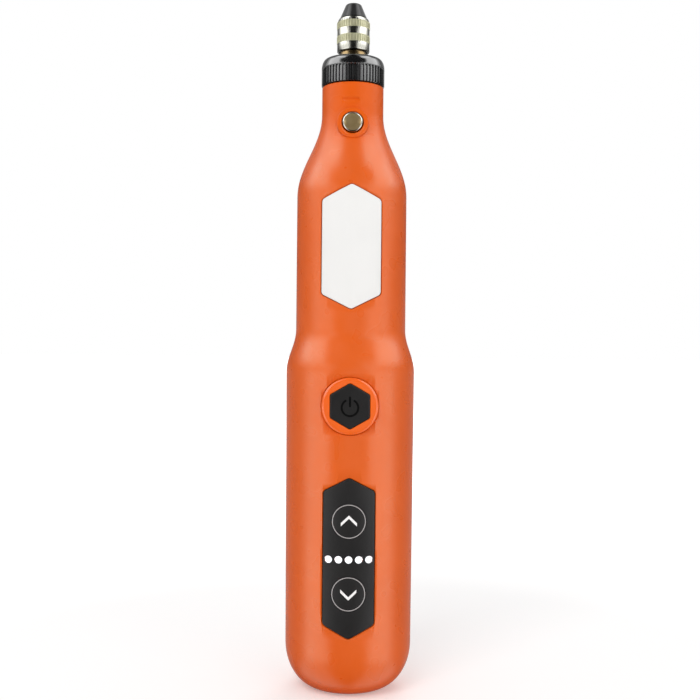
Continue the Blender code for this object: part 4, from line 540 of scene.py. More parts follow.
inlay_levels = edge_levels(INLAY_PROUD - INLAY_THICKNESS, INLAY_PROUD, INLAY_EDGE)
badge = stacked("white_plate", badge_outline, inlay_levels)
panel = stacked("control_panel_face", panel_outline, inlay_levels)
light_places = [(i - (LIGHT_COUNT - 1) / 2) * LIGHT_PITCH for i in range(LIGHT_COUNT)]
drills = [drill(SPEED_RADIUS + SPEED_GAP, 0, z) for z in (SPEED_UP_Z, SPEED_DOWN_Z)]
drills += [drill(LIGHT_RADIUS + LIGHT_GAP, x, LIGHTS_Z) for x in light_places]
combine(panel, drills, "DIFFERENCE")

ring_profile = plug(RING_RADIUS, RING_BACK, RING_FACE, RING_EDGE, 8)
power_ring = turned("power_ring", ring_profile, 128, place=facing_front(POWER_Z))
hex_outline = rounded(arc((0, POWER_Z), HEX_WIDTH / math.sqrt(3), 90, 390, 5), HEX_CORNER)
hex_levels = [
    (RING_BACK - OVERRUN, HEX_GAP),
    (RING_FACE - LIP, HEX_GAP),
    (RING_FACE + LIP, HEX_GAP + 2 * LIP),
]
combine(power_ring, [stacked("hex_opening", hex_outline, hex_levels, flat_front, None)], "DIFFERENCE")
print("plate, panel and ring are cut")

# %% [markdown]
# ## Buttons
# The power button is a six-sided cap with a shallow dish for the fingertip: its front is a stack of
# ever smaller copies of its outline, each a little deeper. The speed buttons are round caps that follow
# the panel's curve. Each button keeps the flange behind it that holds it in its hole.

# %% Buttons
BUTTON_FACE = 17.9 * MM
BUTTON_EDGE = 0.35 * MM
BUTTON_DISH = 0.22 * MM
POWER_FLANGE_RADIUS = 6.05 * MM
SPEED_FLANGE_RADIUS = 5.0 * MM
FLANGE_BACK = 13.0 * MM
FLANGE_FRONT = 13.9 * MM
DISH_STEPS = 8


def dished_cap(name, outline, middle):
    """A cap on a flat outline, with a rounded edge and a dish in its face."""
    edge = edge_levels(FLANGE_FRONT - LIP, BUTTON_FACE, BUTTON_EDGE)
    rings = [[(x, height, z) for x, z in outline(wider)] for height, wider in edge]
    rim = rings[-1]
    for i in range(1, DISH_STEPS):
        share = 1 - i / DISH_STEPS
        depth = BUTTON_DISH * (1 - share * share)
        rings.append([(x * share, BUTTON_FACE - depth, middle + (z - middle) * share) for x, _, z in rim])
    return lofted(name, rings, flat_front)


def flanged(cap, radius, z):
    """A cap with the disc behind it that keeps it in its hole."""
    disc = turned("flange", rod(radius, FLANGE_BACK, FLANGE_FRONT), place=facing_front(z))
    return combine(cap, [disc], "UNION")


def speed_cap(name, z):
    """A round cap that follows the panel's curve."""
    levels = edge_levels(FLANGE_FRONT - LIP - casing_radius(z), INLAY_PROUD, INLAY_EDGE / 2)
    return flanged(stacked(name, circle(SPEED_RADIUS, 96, (0, z)), levels), SPEED_FLANGE_RADIUS, z)


power_cap = dished_cap("power_button_cap", hex_outline, POWER_Z)
power_button = flanged(power_cap, POWER_FLANGE_RADIUS, POWER_Z)
speed_up = speed_cap("speed_up_cap", SPEED_UP_Z)
speed_down = speed_cap("speed_down_cap", SPEED_DOWN_Z)
print("buttons are shaped")

# %% [markdown]
# ## Printed signs
# The circles, the chevrons and the standby sign are pad printed. Ink is drawn here as thin ribbons
# along a path: a real layer of geometry, a few hundredths of a millimetre proud, shows in every view
# and needs no image. The signs are generic ones that any such tool may carry.

# %% Printed signs
INK_PROUD = 0.02 * MM
INK_DEPTH = 0.06 * MM
CIRCLE_RADIUS = 4.2 * MM
CIRCLE_STROKE = 0.21 * MM
CHEVRON_WIDTH = 4.1 * MM
CHEVRON_HEIGHT = 1.95 * MM
CHEVRON_STROKE = 0.6 * MM
CHEVRON_SLANT = 1.38
CHEVRON_RISE = 1.15 * MM
CHEVRON_STEPS = 8
STANDBY_RADIUS = 2.1 * MM
STANDBY_STROKE = 0.48 * MM
STANDBY_GAP_DEGREES = 27
STANDBY_DROP = 0.35 * MM
STEM_LOW = 0.2 * MM
STEM_HIGH = 2.8 * MM
STEM_STEPS = 6
SHARPEST_CORNER = 0.4


def ribbons(name, paths, width, height, surface=on_casing, closed=False, across=None):
    """Thin strips of ink along paths of (x, z) points, as wide across one way or square to each path."""
    mesh = bmesh.new()
    for path in paths:
        points = [Vector(point) for point in path]
        rows = []
        for i, point in enumerate(points):
            before = points[i - 1] if i or closed else None
            after = points[(i + 1) % len(points)] if i < len(points) - 1 or closed else None
            into = (point - before).normalized() if before else (after - point).normalized()
            out = (after - point).normalized() if after else into
            side = Vector((-into.y - out.y, into.x + out.x)).normalized()
            side *= width / 2 / max(side.dot(Vector((-into.y, into.x))), SHARPEST_CORNER)
            side = across * width / 2 if across else side
            low = height - INK_DEPTH
            corners = [(point + side, height), (point - side, height)]
            corners += [(point - side, low), (point + side, low)]
            rows.append([mesh.verts.new(surface(place.x, level, place.y)) for place, level in corners])
        bridge(mesh, rows, closed)
    return solid(mesh, name)


def arrow_sign(name, z, way):
    """A chevron with upright ends that points up (way 1) or down (way -1)."""
    path = []
    for i in range(-CHEVRON_STEPS, CHEVRON_STEPS + 1):
        share = i / CHEVRON_STEPS
        path.append((share * CHEVRON_WIDTH / 2, z + way * (CHEVRON_RISE - abs(share) * CHEVRON_HEIGHT)))
    upright = CHEVRON_STROKE * CHEVRON_SLANT
    return ribbons(name, [path], upright, INLAY_PROUD + INK_PROUD, across=Vector((0, 1)))


def circle_sign(name, z):
    """A thin circle near the edge of a speed button."""
    path = circle(CIRCLE_RADIUS, 96, (0, z))(0)
    return ribbons(name, [path], CIRCLE_STROKE, INLAY_PROUD + INK_PROUD, closed=True)


def dished(x, height, z):
    """A place on the dished face of the power button."""
    share = min(math.hypot(x, z - POWER_Z) / (HEX_WIDTH / 2), 1)
    return Vector((x, -(BUTTON_FACE - BUTTON_DISH * (1 - share * share) + height), z))


up_sign = arrow_sign("speed_up_sign", SPEED_UP_Z, 1)
down_sign = arrow_sign("speed_down_sign", SPEED_DOWN_Z, -1)
up_circle = circle_sign("speed_up_circle", SPEED_UP_Z)
down_circle = circle_sign("speed_down_circle", SPEED_DOWN_Z)
sign_z = POWER_Z - STANDBY_DROP
bow = arc((0, sign_z), STANDBY_RADIUS, 90 + STANDBY_GAP_DEGREES, 450 - STANDBY_GAP_DEGREES, 48)
stem = [(0, sign_z + STEM_LOW + (STEM_HIGH - STEM_LOW) * i / STEM_STEPS) for i in range(STEM_STEPS + 1)]
standby_sign = ribbons("standby_sign", [bow, stem], STANDBY_STROKE, INK_PROUD * 2, dished)
print("signs are printed")

# %% [markdown]
# ## Geometry Nodes for what repeats
# Lights, ribs, knurls and screws repeat. One helper makes a node from its inputs, three more write
# arithmetic in one line, and the last sets a tree's named inputs by their socket identifiers, evaluates
# it once and keeps the result as a plain mesh, because instances don't survive an export.

# %% Helpers for node trees


def add_node(tree, kind, inputs=None, **settings):
    """A node of one kind, with its settings and with values or links for its input sockets."""
    node = tree.nodes.new(kind)
    for name, value in settings.items():
        setattr(node, name, value)
    for key, value in (inputs or {}).items():
        if isinstance(value, bpy.types.NodeSocket):
            tree.links.new(value, node.inputs[key])
        else:
            node.inputs[key].default_value = value
    return node


def maths(tree, operation, *values):
    """One step of arithmetic on numbers."""
    return add_node(tree, "ShaderNodeMath", dict(enumerate(values)), operation=operation).outputs[0]


def vector_maths(tree, operation, *values, **named):
    """One step of arithmetic on vectors."""
    node = add_node(tree, "ShaderNodeVectorMath", {**dict(enumerate(values)), **named}, operation=operation)
    return node.outputs["Value" if operation == "LENGTH" else "Vector"]


def spread(tree, value, low, high, start=0.0, end=1.0, **settings):
    """A value between low and high, spread between start and end."""
    inputs = {"Value": value, "From Min": low, "From Max": high, "To Min": start, "To Max": end}
    return add_node(tree, "ShaderNodeMapRange", inputs, **settings).outputs[0]


def new_tree(name, **sockets):
    """A Geometry Nodes tree with named inputs, and its input sockets: geometry, these and a material."""
    tree = bpy.data.node_groups.new(name, "GeometryNodeTree")
    for socket, kind in {"Geometry": "Geometry", **sockets, "Material": "Material"}.items():
        tree.interface.new_socket(socket, in_out="INPUT", socket_type="NodeSocket" + kind)
    tree.interface.new_socket("Geometry", in_out="OUTPUT", socket_type="NodeSocketGeometry")
    return tree, tree.nodes.new("NodeGroupInput").outputs


def finish_tree(tree, given, geometry):
    """Ends a tree: instances become real faces and every face takes the material that was asked for."""
    real = add_node(tree, "GeometryNodeRealizeInstances", {0: geometry}).outputs[0]
    painted = add_node(tree, "GeometryNodeSetMaterial", {0: real, "Material": given["Material"]})
    add_node(tree, "NodeGroupOutput", {0: painted.outputs[0]})


def grown(obj, tree, **values):
    """Runs a tree on an object with these inputs and keeps the result as a plain mesh."""
    modifier = obj.modifiers.new(tree.name, "NODES")
    modifier.node_group = tree
    for item in tree.interface.items_tree:
        if item.in_out == "INPUT" and item.name in values:
            modifier[item.identifier] = values[item.name]
    return baked(obj)


print("node helpers are ready")

# %% [markdown]
# ## Ribs and knurls as one rule
# The nose cap's grip ribs and the straight knurls on the chuck follow one rule: round the axis the
# surface sinks and rises like a wave, and only between two heights. So one tree serves both. It moves
# each point of a finely turned ring inwards by depth x wave x mask, which keeps the surface closed.
# The core is the radius inside which nothing moves, so a bore stays round.

# %% A tree that presses grooves round the axis
GROOVE_FLOOR = -0.15
GROOVE_CREST = 0.75

groove_sizes = dict.fromkeys(("Count", "Depth", "Low", "High", "Fade", "Core"), "Float")
grooves, given = new_tree("Grooves round the axis", **groove_sizes)
position = add_node(grooves, "GeometryNodeInputPosition").outputs[0]
place = add_node(grooves, "ShaderNodeSeparateXYZ", {0: position}).outputs
angle = maths(grooves, "ARCTAN2", place["Y"], place["X"])
wave = maths(grooves, "COSINE", maths(grooves, "MULTIPLY", angle, given["Count"]))
sunk = spread(grooves, wave, GROOVE_FLOOR, GROOVE_CREST, 1.0, 0.0, interpolation_type="SMOOTHSTEP")
low_end = maths(grooves, "ADD", given["Low"], given["Fade"])
high_end = maths(grooves, "SUBTRACT", given["High"], given["Fade"])
above = spread(grooves, place["Z"], given["Low"], low_end)
below = spread(grooves, place["Z"], given["High"], high_end)
flat_place = vector_maths(grooves, "MULTIPLY", position, (1, 1, 0))
outside = maths(grooves, "GREATER_THAN", vector_maths(grooves, "LENGTH", flat_place), given["Core"])
amount = above
for share in (below, outside, sunk, given["Depth"]):
    amount = maths(grooves, "MULTIPLY", amount, share)
inward = vector_maths(grooves, "SCALE", vector_maths(grooves, "NORMALIZE", flat_place), Scale=amount)
offset = vector_maths(grooves, "SUBTRACT", (0, 0, 0), inward)
pressed = add_node(grooves, "GeometryNodeSetPosition", {0: given["Geometry"], "Offset": offset})
finish_tree(grooves, given, pressed.outputs[0])
print("tree:", grooves.name, "with", len(grooves.nodes), "nodes")

# %% [markdown]
# ## Copies on points
# The five lights and the four screws are the same shape at several places. This tree puts an instance
# of one object on every point of a mesh that holds only those places, which is how rivets or bolts are
# usually scattered along a part.

# %% A tree that copies an object to points
copier, given = new_tree("Copies on points", Piece="Object")
source = add_node(copier, "GeometryNodeObjectInfo", {"Object": given["Piece"]}, transform_space="ORIGINAL")
facing = add_node(copier, "GeometryNodeInputNamedAttribute", {"Name": "facing"}, data_type="FLOAT_VECTOR")
turn = add_node(copier, "FunctionNodeAlignRotationToVector", {"Vector": facing.outputs[0]}, axis="Z")
spots = {"Points": given["Geometry"], "Instance": source.outputs["Geometry"], "Rotation": turn.outputs[0]}
placed = add_node(copier, "GeometryNodeInstanceOnPoints", spots)
finish_tree(copier, given, placed.outputs[0])


def copied(name, piece, places):
    """Copies of a piece at each (point, way that its Z faces), as one mesh. The pattern piece is removed."""
    data = bpy.data.meshes.new(name)
    data.from_pydata([point for point, _ in places], [], [])
    ways = data.attributes.new("facing", "FLOAT_VECTOR", "POINT")
    for item, (_, way) in zip(ways.data, places):
        item.vector = way
    obj = grown(linked(name, data), copier, Piece=piece)
    bpy.data.objects.remove(piece)
    return obj


print("tree:", copier.name)

# %% [markdown]
# ## Five lights
# The lights are clear posts of one moulded guide that carries light from the board to the panel. Each
# ends in a low dome. One post is turned, copied to five points that face outwards round the casing, and
# joined to the bar behind the panel.

# %% Five lights
POST_LENGTH = 3.6 * MM
DOME_RISE = 0.22 * MM
DOME_START = 12
GUIDE_BAR_HEIGHT = 2.4 * MM
GUIDE_BAR_FRONT = 13.8 * MM

guide_low, guide_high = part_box("led_light_guide")
light_reach = casing_radius(LIGHTS_Z) + INLAY_PROUD
post_profile = rod(LIGHT_RADIUS, -POST_LENGTH, -DOME_RISE)[:3]
post_profile += arc((0, -DOME_RISE), LIGHT_RADIUS, DOME_START, 90, 6, DOME_RISE)
post = turned("light_post", post_profile, 32)
light_ways = [Vector((x, -math.sqrt(light_reach**2 - x * x), 0)) for x in light_places]
light_spots = [(way + Vector((0, 0, LIGHTS_Z)), way.normalized()) for way in light_ways]
posts = copied("light_posts", post, light_spots)
guide_bar = bar(guide_high.x - guide_low.x, GUIDE_BAR_HEIGHT, 0, LIGHTS_Z)
bar_rings = [[(x, y, z) for x, z in guide_bar(0)] for y in (guide_high.y, -GUIDE_BAR_FRONT)]
status_lights = combine(posts, [lofted("guide_bar", bar_rings)], "UNION")
print("lights are", round(LIGHT_PITCH / MM, 1), "mm apart")

# %% [markdown]
# ## Spindle lock button
# A steel pin with a domed head: pressing it locks the spindle. It is turned in one piece, with the head,
# the flange that keeps it in and the pin that reaches for the spindle.

# %% Spindle lock button
LOCK_RADIUS = 2.75 * MM
LOCK_EDGE = 0.75 * MM
LOCK_CROWN = 0.25 * MM
LOCK_FLANGE_RADIUS = 3.3 * MM
LOCK_FLANGE_THICKNESS = 0.5 * MM
LOCK_FLANGE_REACH = 7.2 * MM
LOCK_PIN_RADIUS = 1.0 * MM
LOCK_PIN_BEVEL = 0.3 * MM

lock_low, lock_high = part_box("lock_button")
lock_face, lock_tip = -lock_low.y, -lock_high.y
flange_top = LOCK_FLANGE_REACH + LOCK_FLANGE_THICKNESS
lock_profile = [(0, lock_tip), (LOCK_PIN_RADIUS - LOCK_PIN_BEVEL, lock_tip)]
lock_profile += [(LOCK_PIN_RADIUS, lock_tip + LOCK_PIN_BEVEL), (LOCK_PIN_RADIUS, LOCK_FLANGE_REACH)]
lock_profile += [(LOCK_FLANGE_RADIUS, LOCK_FLANGE_REACH), (LOCK_FLANGE_RADIUS, flange_top)]
lock_profile += [(LOCK_RADIUS, flange_top)]
lock_profile += arc((LOCK_RADIUS - LOCK_EDGE, lock_face - LOCK_CROWN - LOCK_EDGE), LOCK_EDGE, 0, 72, 8)
top_radius, top_height = lock_profile[-1]
for share in (0.75, 0.5, 0.25, 0):
    crown = (lock_face - top_height) * (1 - share * share)
    lock_profile.append((top_radius * share, top_height + crown))
lock_button = turned("spindle_lock_head", lock_profile, 64, place=facing_front(LOCK_Z))
print("lock button reaches", round(lock_face / MM, 2), "mm")

# %% [markdown]
# ## Ribbed nose cap
# The nose cap is turned as a ring with a generous round shoulder. Its grip ribs are moulded
# between straight grooves that run out into the shoulder, so the ring has many columns and the groove
# tree presses the grooves in.

# %% Ribbed nose cap
CAP_RADIUS = 8.45 * MM
CAP_BORE = 7.4 * MM
CAP_HOLE = 4.75 * MM
CAP_LOW_Z = 160.8 * MM
CAP_HIGH_Z = 168.0 * MM
CAP_FLOOR_Z = 167.0 * MM
CAP_EDGE = 0.15 * MM
CAP_SHOULDER_HEIGHT = 2.6 * MM
CAP_SHOULDER_WIDTH = 1.25 * MM
CAP_RIM = 0.2 * MM
CAP_ROWS = 13
RIB_COUNT = 52
RIB_DEPTH = 0.45 * MM
RIB_TOP_Z = 165.4 * MM
RIB_FADE = 0.4 * MM
COLUMNS_PER_RIB = 18

wall_low, wall_top = CAP_LOW_Z + CAP_EDGE, CAP_HIGH_Z - CAP_SHOULDER_HEIGHT
cap_profile = [(CAP_BORE, CAP_LOW_Z), (CAP_RADIUS - CAP_EDGE, CAP_LOW_Z), (CAP_RADIUS, wall_low)]
for i in range(1, CAP_ROWS):
    cap_profile.append((CAP_RADIUS, wall_low + (wall_top - wall_low) * (1 - (1 - i / CAP_ROWS) ** 2)))
shoulder_middle = (CAP_RADIUS - CAP_SHOULDER_WIDTH, wall_top)
cap_profile += arc(shoulder_middle, CAP_SHOULDER_WIDTH, 0, 90, 20, CAP_SHOULDER_HEIGHT)
cap_profile += [(CAP_HOLE + CAP_RIM, CAP_HIGH_Z), (CAP_HOLE, CAP_HIGH_Z - CAP_RIM)]
cap_profile += [(CAP_HOLE, CAP_FLOOR_Z), (CAP_BORE, CAP_FLOOR_Z)]
nose_cap = turned("ribbed_nose_cap", cap_profile, RIB_COUNT * COLUMNS_PER_RIB, closed=True)
rib_heights = {"Low": CAP_LOW_Z - RIB_FADE, "High": RIB_TOP_Z, "Fade": RIB_FADE}
grown(nose_cap, grooves, Count=float(RIB_COUNT), Depth=RIB_DEPTH, Core=CAP_BORE + CAP_EDGE, **rib_heights)
print("nose cap:", len(nose_cap.data.polygons), "faces")

# %% [markdown]
# ## Chuck
# The chuck is turned metal: a brass arbor, a nickel sleeve with two knurled bands and a black-coated
# nose. The sleeve is one closed ring, and the groove tree presses each knurl in turn, as a knurling
# wheel does on a lathe.

# %% Arbor and sleeve
ARBOR_RADIUS = 3.6 * MM
ARBOR_LOW_Z = 159.25 * MM
ARBOR_HIGH_Z = 171.65 * MM
ARBOR_STUB_RADIUS = 2.6 * MM
ARBOR_FOOT_RADIUS = 3.3 * MM
ARBOR_FOOT_Z = 161.85 * MM
ARBOR_BORE = 2.25 * MM
ARBOR_BORE_Z = 169.7 * MM
SLEEVE_LOW_Z = 170.15 * MM
SLEEVE_HIGH_Z = 179.0 * MM
SLEEVE_BORE = 3.85 * MM
SLEEVE_LIP = 3.15 * MM
SLEEVE_LIP_Z = 178.4 * MM
SLEEVE_TOP_RADIUS = 3.85 * MM
SLEEVE_BEVEL_WIDTH = 0.17 * MM
SLEEVE_BEVEL_HEIGHT = 0.1 * MM
BAND_RADIUS = 4.35 * MM
BAND_EDGE = 0.25 * MM
KNURLS = ((172.35 * MM, 174.35 * MM), (176.2 * MM, 178.1 * MM))
KNURL_RADIUS = 4.45 * MM
KNURL_ROWS = (0.15, 0.3, 0.5, 0.7, 0.85)
KNURL_COUNT = 40
KNURL_DEPTH = 0.13 * MM
KNURL_FADE = 0.12 * MM
COLUMNS_PER_KNURL = 12

arbor_profile = [(0, ARBOR_BORE_Z), (ARBOR_BORE, ARBOR_BORE_Z), (ARBOR_BORE, ARBOR_LOW_Z)]
arbor_profile += [(ARBOR_FOOT_RADIUS, ARBOR_LOW_Z), (ARBOR_FOOT_RADIUS, ARBOR_FOOT_Z)]
arbor_profile += [(ARBOR_RADIUS, ARBOR_FOOT_Z)]
arbor_profile += arc((ARBOR_RADIUS - BAND_EDGE, SLEEVE_LOW_Z - BAND_EDGE), BAND_EDGE, 0, 90, 5)
arbor_profile += [(ARBOR_STUB_RADIUS, SLEEVE_LOW_Z), (ARBOR_STUB_RADIUS, ARBOR_HIGH_Z), (0, ARBOR_HIGH_Z)]
arbor = turned("chuck_arbor_turned", arbor_profile)

sleeve_profile = [(SLEEVE_BORE, SLEEVE_LOW_Z)]
sleeve_profile += arc((BAND_RADIUS - BAND_EDGE, SLEEVE_LOW_Z + BAND_EDGE), BAND_EDGE, -90, 0, 5)
step = KNURL_RADIUS - BAND_RADIUS
for low, high in KNURLS:
    sleeve_profile += [(BAND_RADIUS, low), (KNURL_RADIUS, low + step)]
    sleeve_profile += [(KNURL_RADIUS, low + (high - low) * share) for share in KNURL_ROWS]
    sleeve_profile += [(KNURL_RADIUS, high - step), (BAND_RADIUS, high)]
sleeve_profile += [(SLEEVE_TOP_RADIUS + SLEEVE_BEVEL_WIDTH, SLEEVE_HIGH_Z - SLEEVE_BEVEL_HEIGHT)]
sleeve_profile += [(SLEEVE_TOP_RADIUS, SLEEVE_HIGH_Z), (SLEEVE_LIP, SLEEVE_HIGH_Z)]
sleeve_profile += [(SLEEVE_LIP, SLEEVE_LIP_Z), (SLEEVE_BORE, SLEEVE_LIP_Z)]
sleeve = turned("chuck_sleeve_knurled", sleeve_profile, KNURL_COUNT * COLUMNS_PER_KNURL, closed=True)
knurl = {"Count": float(KNURL_COUNT), "Depth": KNURL_DEPTH, "Fade": KNURL_FADE}
for low, high in KNURLS:
    grown(sleeve, grooves, Low=low, High=high, Core=BAND_RADIUS - BAND_EDGE, **knurl)
print("sleeve:", len(sleeve.data.polygons), "faces")

# %% [markdown]
# ## Chuck nose
# The nose and the chuck's body are one turned piece with a waist inside the sleeve, where the nut sits.
# Three bores slope towards one point at the tip, so that the jaws close as they come forwards.

# %% Chuck nose
NOSE_TIP_Z = 183.2 * MM
NOSE_TIP_RADIUS = 2.3 * MM
NOSE_EDGE = 0.9 * MM
NOSE_RADIUS = 3.65 * MM
NOSE_LOW_Z = 179.15 * MM
NOSE_BEVEL_WIDTH = 0.05 * MM
NOSE_BEVEL_HEIGHT = 0.15 * MM
NOSE_NECK_RADIUS = 3.0 * MM
NUT_ROOM_RADIUS = 1.75 * MM
NUT_ROOM_LOW_Z = 176.75 * MM
BODY_RADIUS = 3.7 * MM
BODY_LOW_Z = 170.45 * MM
BODY_BORE = 2.75 * MM
BODY_BORE_Z = 171.8 * MM
SHANK_BORE = 1.2 * MM
SHANK_BORE_Z = 174.1 * MM
JAW_BORE = 0.77 * MM
JAW_BORE_LENGTH = 10.65 * MM
JAW_APEX_Z = 183.0 * MM
JAW_TILT = math.radians(-15)
JAW_COUNT = 3

nose_profile = [(0, SHANK_BORE_Z), (SHANK_BORE, SHANK_BORE_Z), (SHANK_BORE, NOSE_TIP_Z)]
nose_profile += arc((NOSE_TIP_RADIUS - NOSE_EDGE, NOSE_TIP_Z - NOSE_EDGE), NOSE_EDGE, 90, 20, 8)
nose_profile += [(NOSE_RADIUS, NOSE_LOW_Z + NOSE_BEVEL_HEIGHT), (NOSE_RADIUS - NOSE_BEVEL_WIDTH, NOSE_LOW_Z)]
nose_profile += [(NOSE_NECK_RADIUS, NOSE_LOW_Z), (NOSE_NECK_RADIUS, SLEEVE_LIP_Z)]
nose_profile += [(NUT_ROOM_RADIUS, SLEEVE_LIP_Z), (NUT_ROOM_RADIUS, NUT_ROOM_LOW_Z)]
nose_profile += [(BODY_RADIUS, NUT_ROOM_LOW_Z), (BODY_RADIUS, BODY_LOW_Z)]
nose_profile += [(BODY_BORE, BODY_LOW_Z), (BODY_BORE, BODY_BORE_Z), (0, BODY_BORE_Z)]
chuck_nose = turned("chuck_nose_turned", nose_profile)
jaw_bores = []
for i in range(JAW_COUNT):
    turn = Matrix.Rotation(math.radians(360 / JAW_COUNT * i), 4, "Z")
    way = turn @ Matrix.Rotation(JAW_TILT, 4, "Y")
    place = Matrix.Translation((0, 0, JAW_APEX_Z)) @ way
    jaw_bores.append(turned("jaw_bore", rod(JAW_BORE, -JAW_BORE_LENGTH, OVERRUN), 24, place=place))
combine(chuck_nose, jaw_bores, "DIFFERENCE")
print("nose:", len(chuck_nose.data.polygons), "faces")

# %% [markdown]
# ## Casing screws
# One pan-head screw is turned and its cross recess is cut by two tapered bars. The copying tree then
# puts it at the four places that the mechanical model gives, facing backwards.

# %% Casing screws
HEAD_RADIUS = 1.9 * MM
HEAD_FLOOR = 4.15 * MM
HEAD_EDGE = 0.5 * MM
SHANK_RADIUS = 1.0 * MM
POINT_RADIUS = 0.5 * MM
RECESS_DEPTH = 0.75 * MM
RECESS_ARM = 1.15 * MM
RECESS_HALF = 0.24 * MM
RECESS_FLOOR_SHARE = 0.65
RECESS_MOUTH_SHARE = 1.12

screw_low, screw_high = screw_boxes[0]
screw_profile = [(0, screw_low.y), (POINT_RADIUS, screw_low.y), (SHANK_RADIUS, screw_low.y + SHANK_RADIUS)]
screw_profile += [(SHANK_RADIUS, HEAD_FLOOR), *plug(HEAD_RADIUS, HEAD_FLOOR, screw_high.y, HEAD_EDGE, 6)[1:]]
screw = turned("screw", screw_profile, 40)


def recess_bar(turn):
    """One tapered arm pair of a cross recess."""
    rings = []
    for depth, share in ((RECESS_DEPTH, RECESS_FLOOR_SHARE), (-LIP, RECESS_MOUTH_SHARE)):
        x, y, z = RECESS_ARM * share, RECESS_HALF * share, screw_high.y - depth
        rings.append([(x, -y, z), (x, y, z), (-x, y, z), (-x, -y, z)])
    arms = lofted("recess", rings)
    arms.data.transform(Matrix.Rotation(turn, 4, "Z"))
    return arms


combine(screw, [recess_bar(0), recess_bar(math.pi / 2)], "DIFFERENCE")
screws = copied("casing_screws", screw, [(Vector((x, 0, z)), Vector((0, 1, 0))) for x, z in screw_places])
print("screws at", [(round(x / MM, 1), round(z / MM, 1)) for x, z in screw_places])

# %% [markdown]
# ## Which piece moves with what
# Each new piece rides on a body of the mechanical model, says which plain piece it stands for, and
# names the material slot that its finish belongs to. The signs ride on their buttons.

# %% Rides
rides = (
    (front_casing, "housing", "casing", ["front_housing"]),
    (rear_casing, "housing", "casing", ["rear_housing"]),
    (badge, "housing", "white_plastic", ["front_badge"]),
    (panel, "housing", "gloss_black_plastic", ["control_panel"]),
    (power_ring, "housing", "bright_casing", ["power_button_ring"]),
    (power_button, "power_button", "black_plastic", ["power_button"]),
    (speed_up, "speed_up_button", "gloss_black_plastic", ["speed_up_button"]),
    (speed_down, "speed_down_button", "gloss_black_plastic", ["speed_down_button"]),
    (up_sign, "speed_up_button", "white_plastic", []),
    (down_sign, "speed_down_button", "white_plastic", []),
    (up_circle, "speed_up_button", "white_plastic", []),
    (down_circle, "speed_down_button", "white_plastic", []),
    (standby_sign, "power_button", "black_plastic", []),
    (status_lights, "housing", "clear_plastic", ["led_light_guide"]),
    (lock_button, "lock_button", "steel", ["lock_button"]),
    (nose_cap, "nose_cap", "black_plastic", ["nose_cap"]),
    (arbor, "spindle", "brass", ["chuck_arbor"]),
    (sleeve, "chuck_sleeve", "nickel", ["chuck_sleeve"]),
    (chuck_nose, "spindle", "dark_steel", ["chuck_body"]),
    (screws, "housing", "steel", screw_nodes),
)
for piece, body, slot_name, stands_for in rides:
    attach(piece, body)
    if stands_for:
        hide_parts(*stands_for)

# %% [markdown]
# ## How the finishes are written
# Every finish starts from what the real material is. Colours are written as sRGB hex values, as they
# are read from a picture, and one function turns them into the linear values that a shader needs. The
# size of a grain is given in millimetres and its depth in micrometres: a texture's scale is one over
# its size in metres, because object coordinates are in metres.

# %% Helpers for finishes
MICRON = MM / 1000
NOISE_LOW = 0.3
NOISE_HIGH = 0.7


def linear(code):
    """An sRGB hex colour as linear red, green, blue and alpha."""
    shares = [int(code[i : i + 2], 16) / 255 for i in (1, 3, 5)]
    return [s / 12.92 if s <= 0.04045 else ((s + 0.055) / 1.055) ** 2.4 for s in shares] + [1.0]


def finish(name, colour, **sockets):
    """A material with one Principled shader, and the values that are the same all over it."""
    material = bpy.data.materials.new(name)
    material.use_nodes = True
    shader = material.node_tree.nodes["Principled BSDF"]
    shader.inputs["Base Color"].default_value = linear(colour)
    material.diffuse_color = linear(colour)
    for key, value in sockets.items():
        value = linear(value) if isinstance(value, str) else value
        shader.inputs[key.replace("_", " ")].default_value = value
    return material, material.node_tree, shader


def object_place(tree, stretch=(1, 1, 1)):
    """Object coordinates, squeezed along each axis by these shares."""
    place = add_node(tree, "ShaderNodeTexCoord").outputs["Object"]
    return vector_maths(tree, "MULTIPLY", place, stretch)


def noise(tree, size, place, detail=2.0):
    """A soft random texture with features of this size in millimetres."""
    inputs = {"Vector": place, "Scale": 1 / (size * MM), "Detail": detail}
    return add_node(tree, "ShaderNodeTexNoise", inputs).outputs[0]


def graded(tree, fac, low, high):
    """A texture's middle values spread between a low and a high value."""
    return spread(tree, fac, NOISE_LOW, NOISE_HIGH, low, high)


def tinted(tree, shader, fac, dark, light):
    """The base colour varies between two colours with a texture."""
    mix = add_node(tree, "ShaderNodeMix", {"Factor": fac}, data_type="RGBA")
    mix.inputs[6].default_value = linear(dark)
    mix.inputs[7].default_value = linear(light)
    tree.links.new(mix.outputs[2], shader.inputs["Base Color"])


def bumped(tree, shader, height, depth):
    """A texture raises and sinks the surface by this depth in micrometres."""
    bump = add_node(tree, "ShaderNodeBump", {"Height": height, "Distance": depth * MICRON})
    tree.links.new(bump.outputs[0], shader.inputs["Normal"])


print("orange as linear light:", [round(value, 3) for value in linear("#e35d10")])

# %% [markdown]
# ## Moulded plastics
# ABS and nylon take the texture of their mould. The orange casing comes from a spark-eroded mould: a
# fine even grain that turns a sharp reflection into a broad soft one. The inlays come from smoother
# moulds, and the ring round the power button from a polished one.

# %% Moulded plastics
FLOW_SIZE = 16.0
HANDLING_SIZE = 5.0
ROUGH_SPREAD = 0.03
GLOSS_LOW_Z = 143.0 * MM
GLOSS_HIGH_Z = 150.0 * MM
GRIP_GLOSS = 0.5
NECK_GLOSS = 0.18


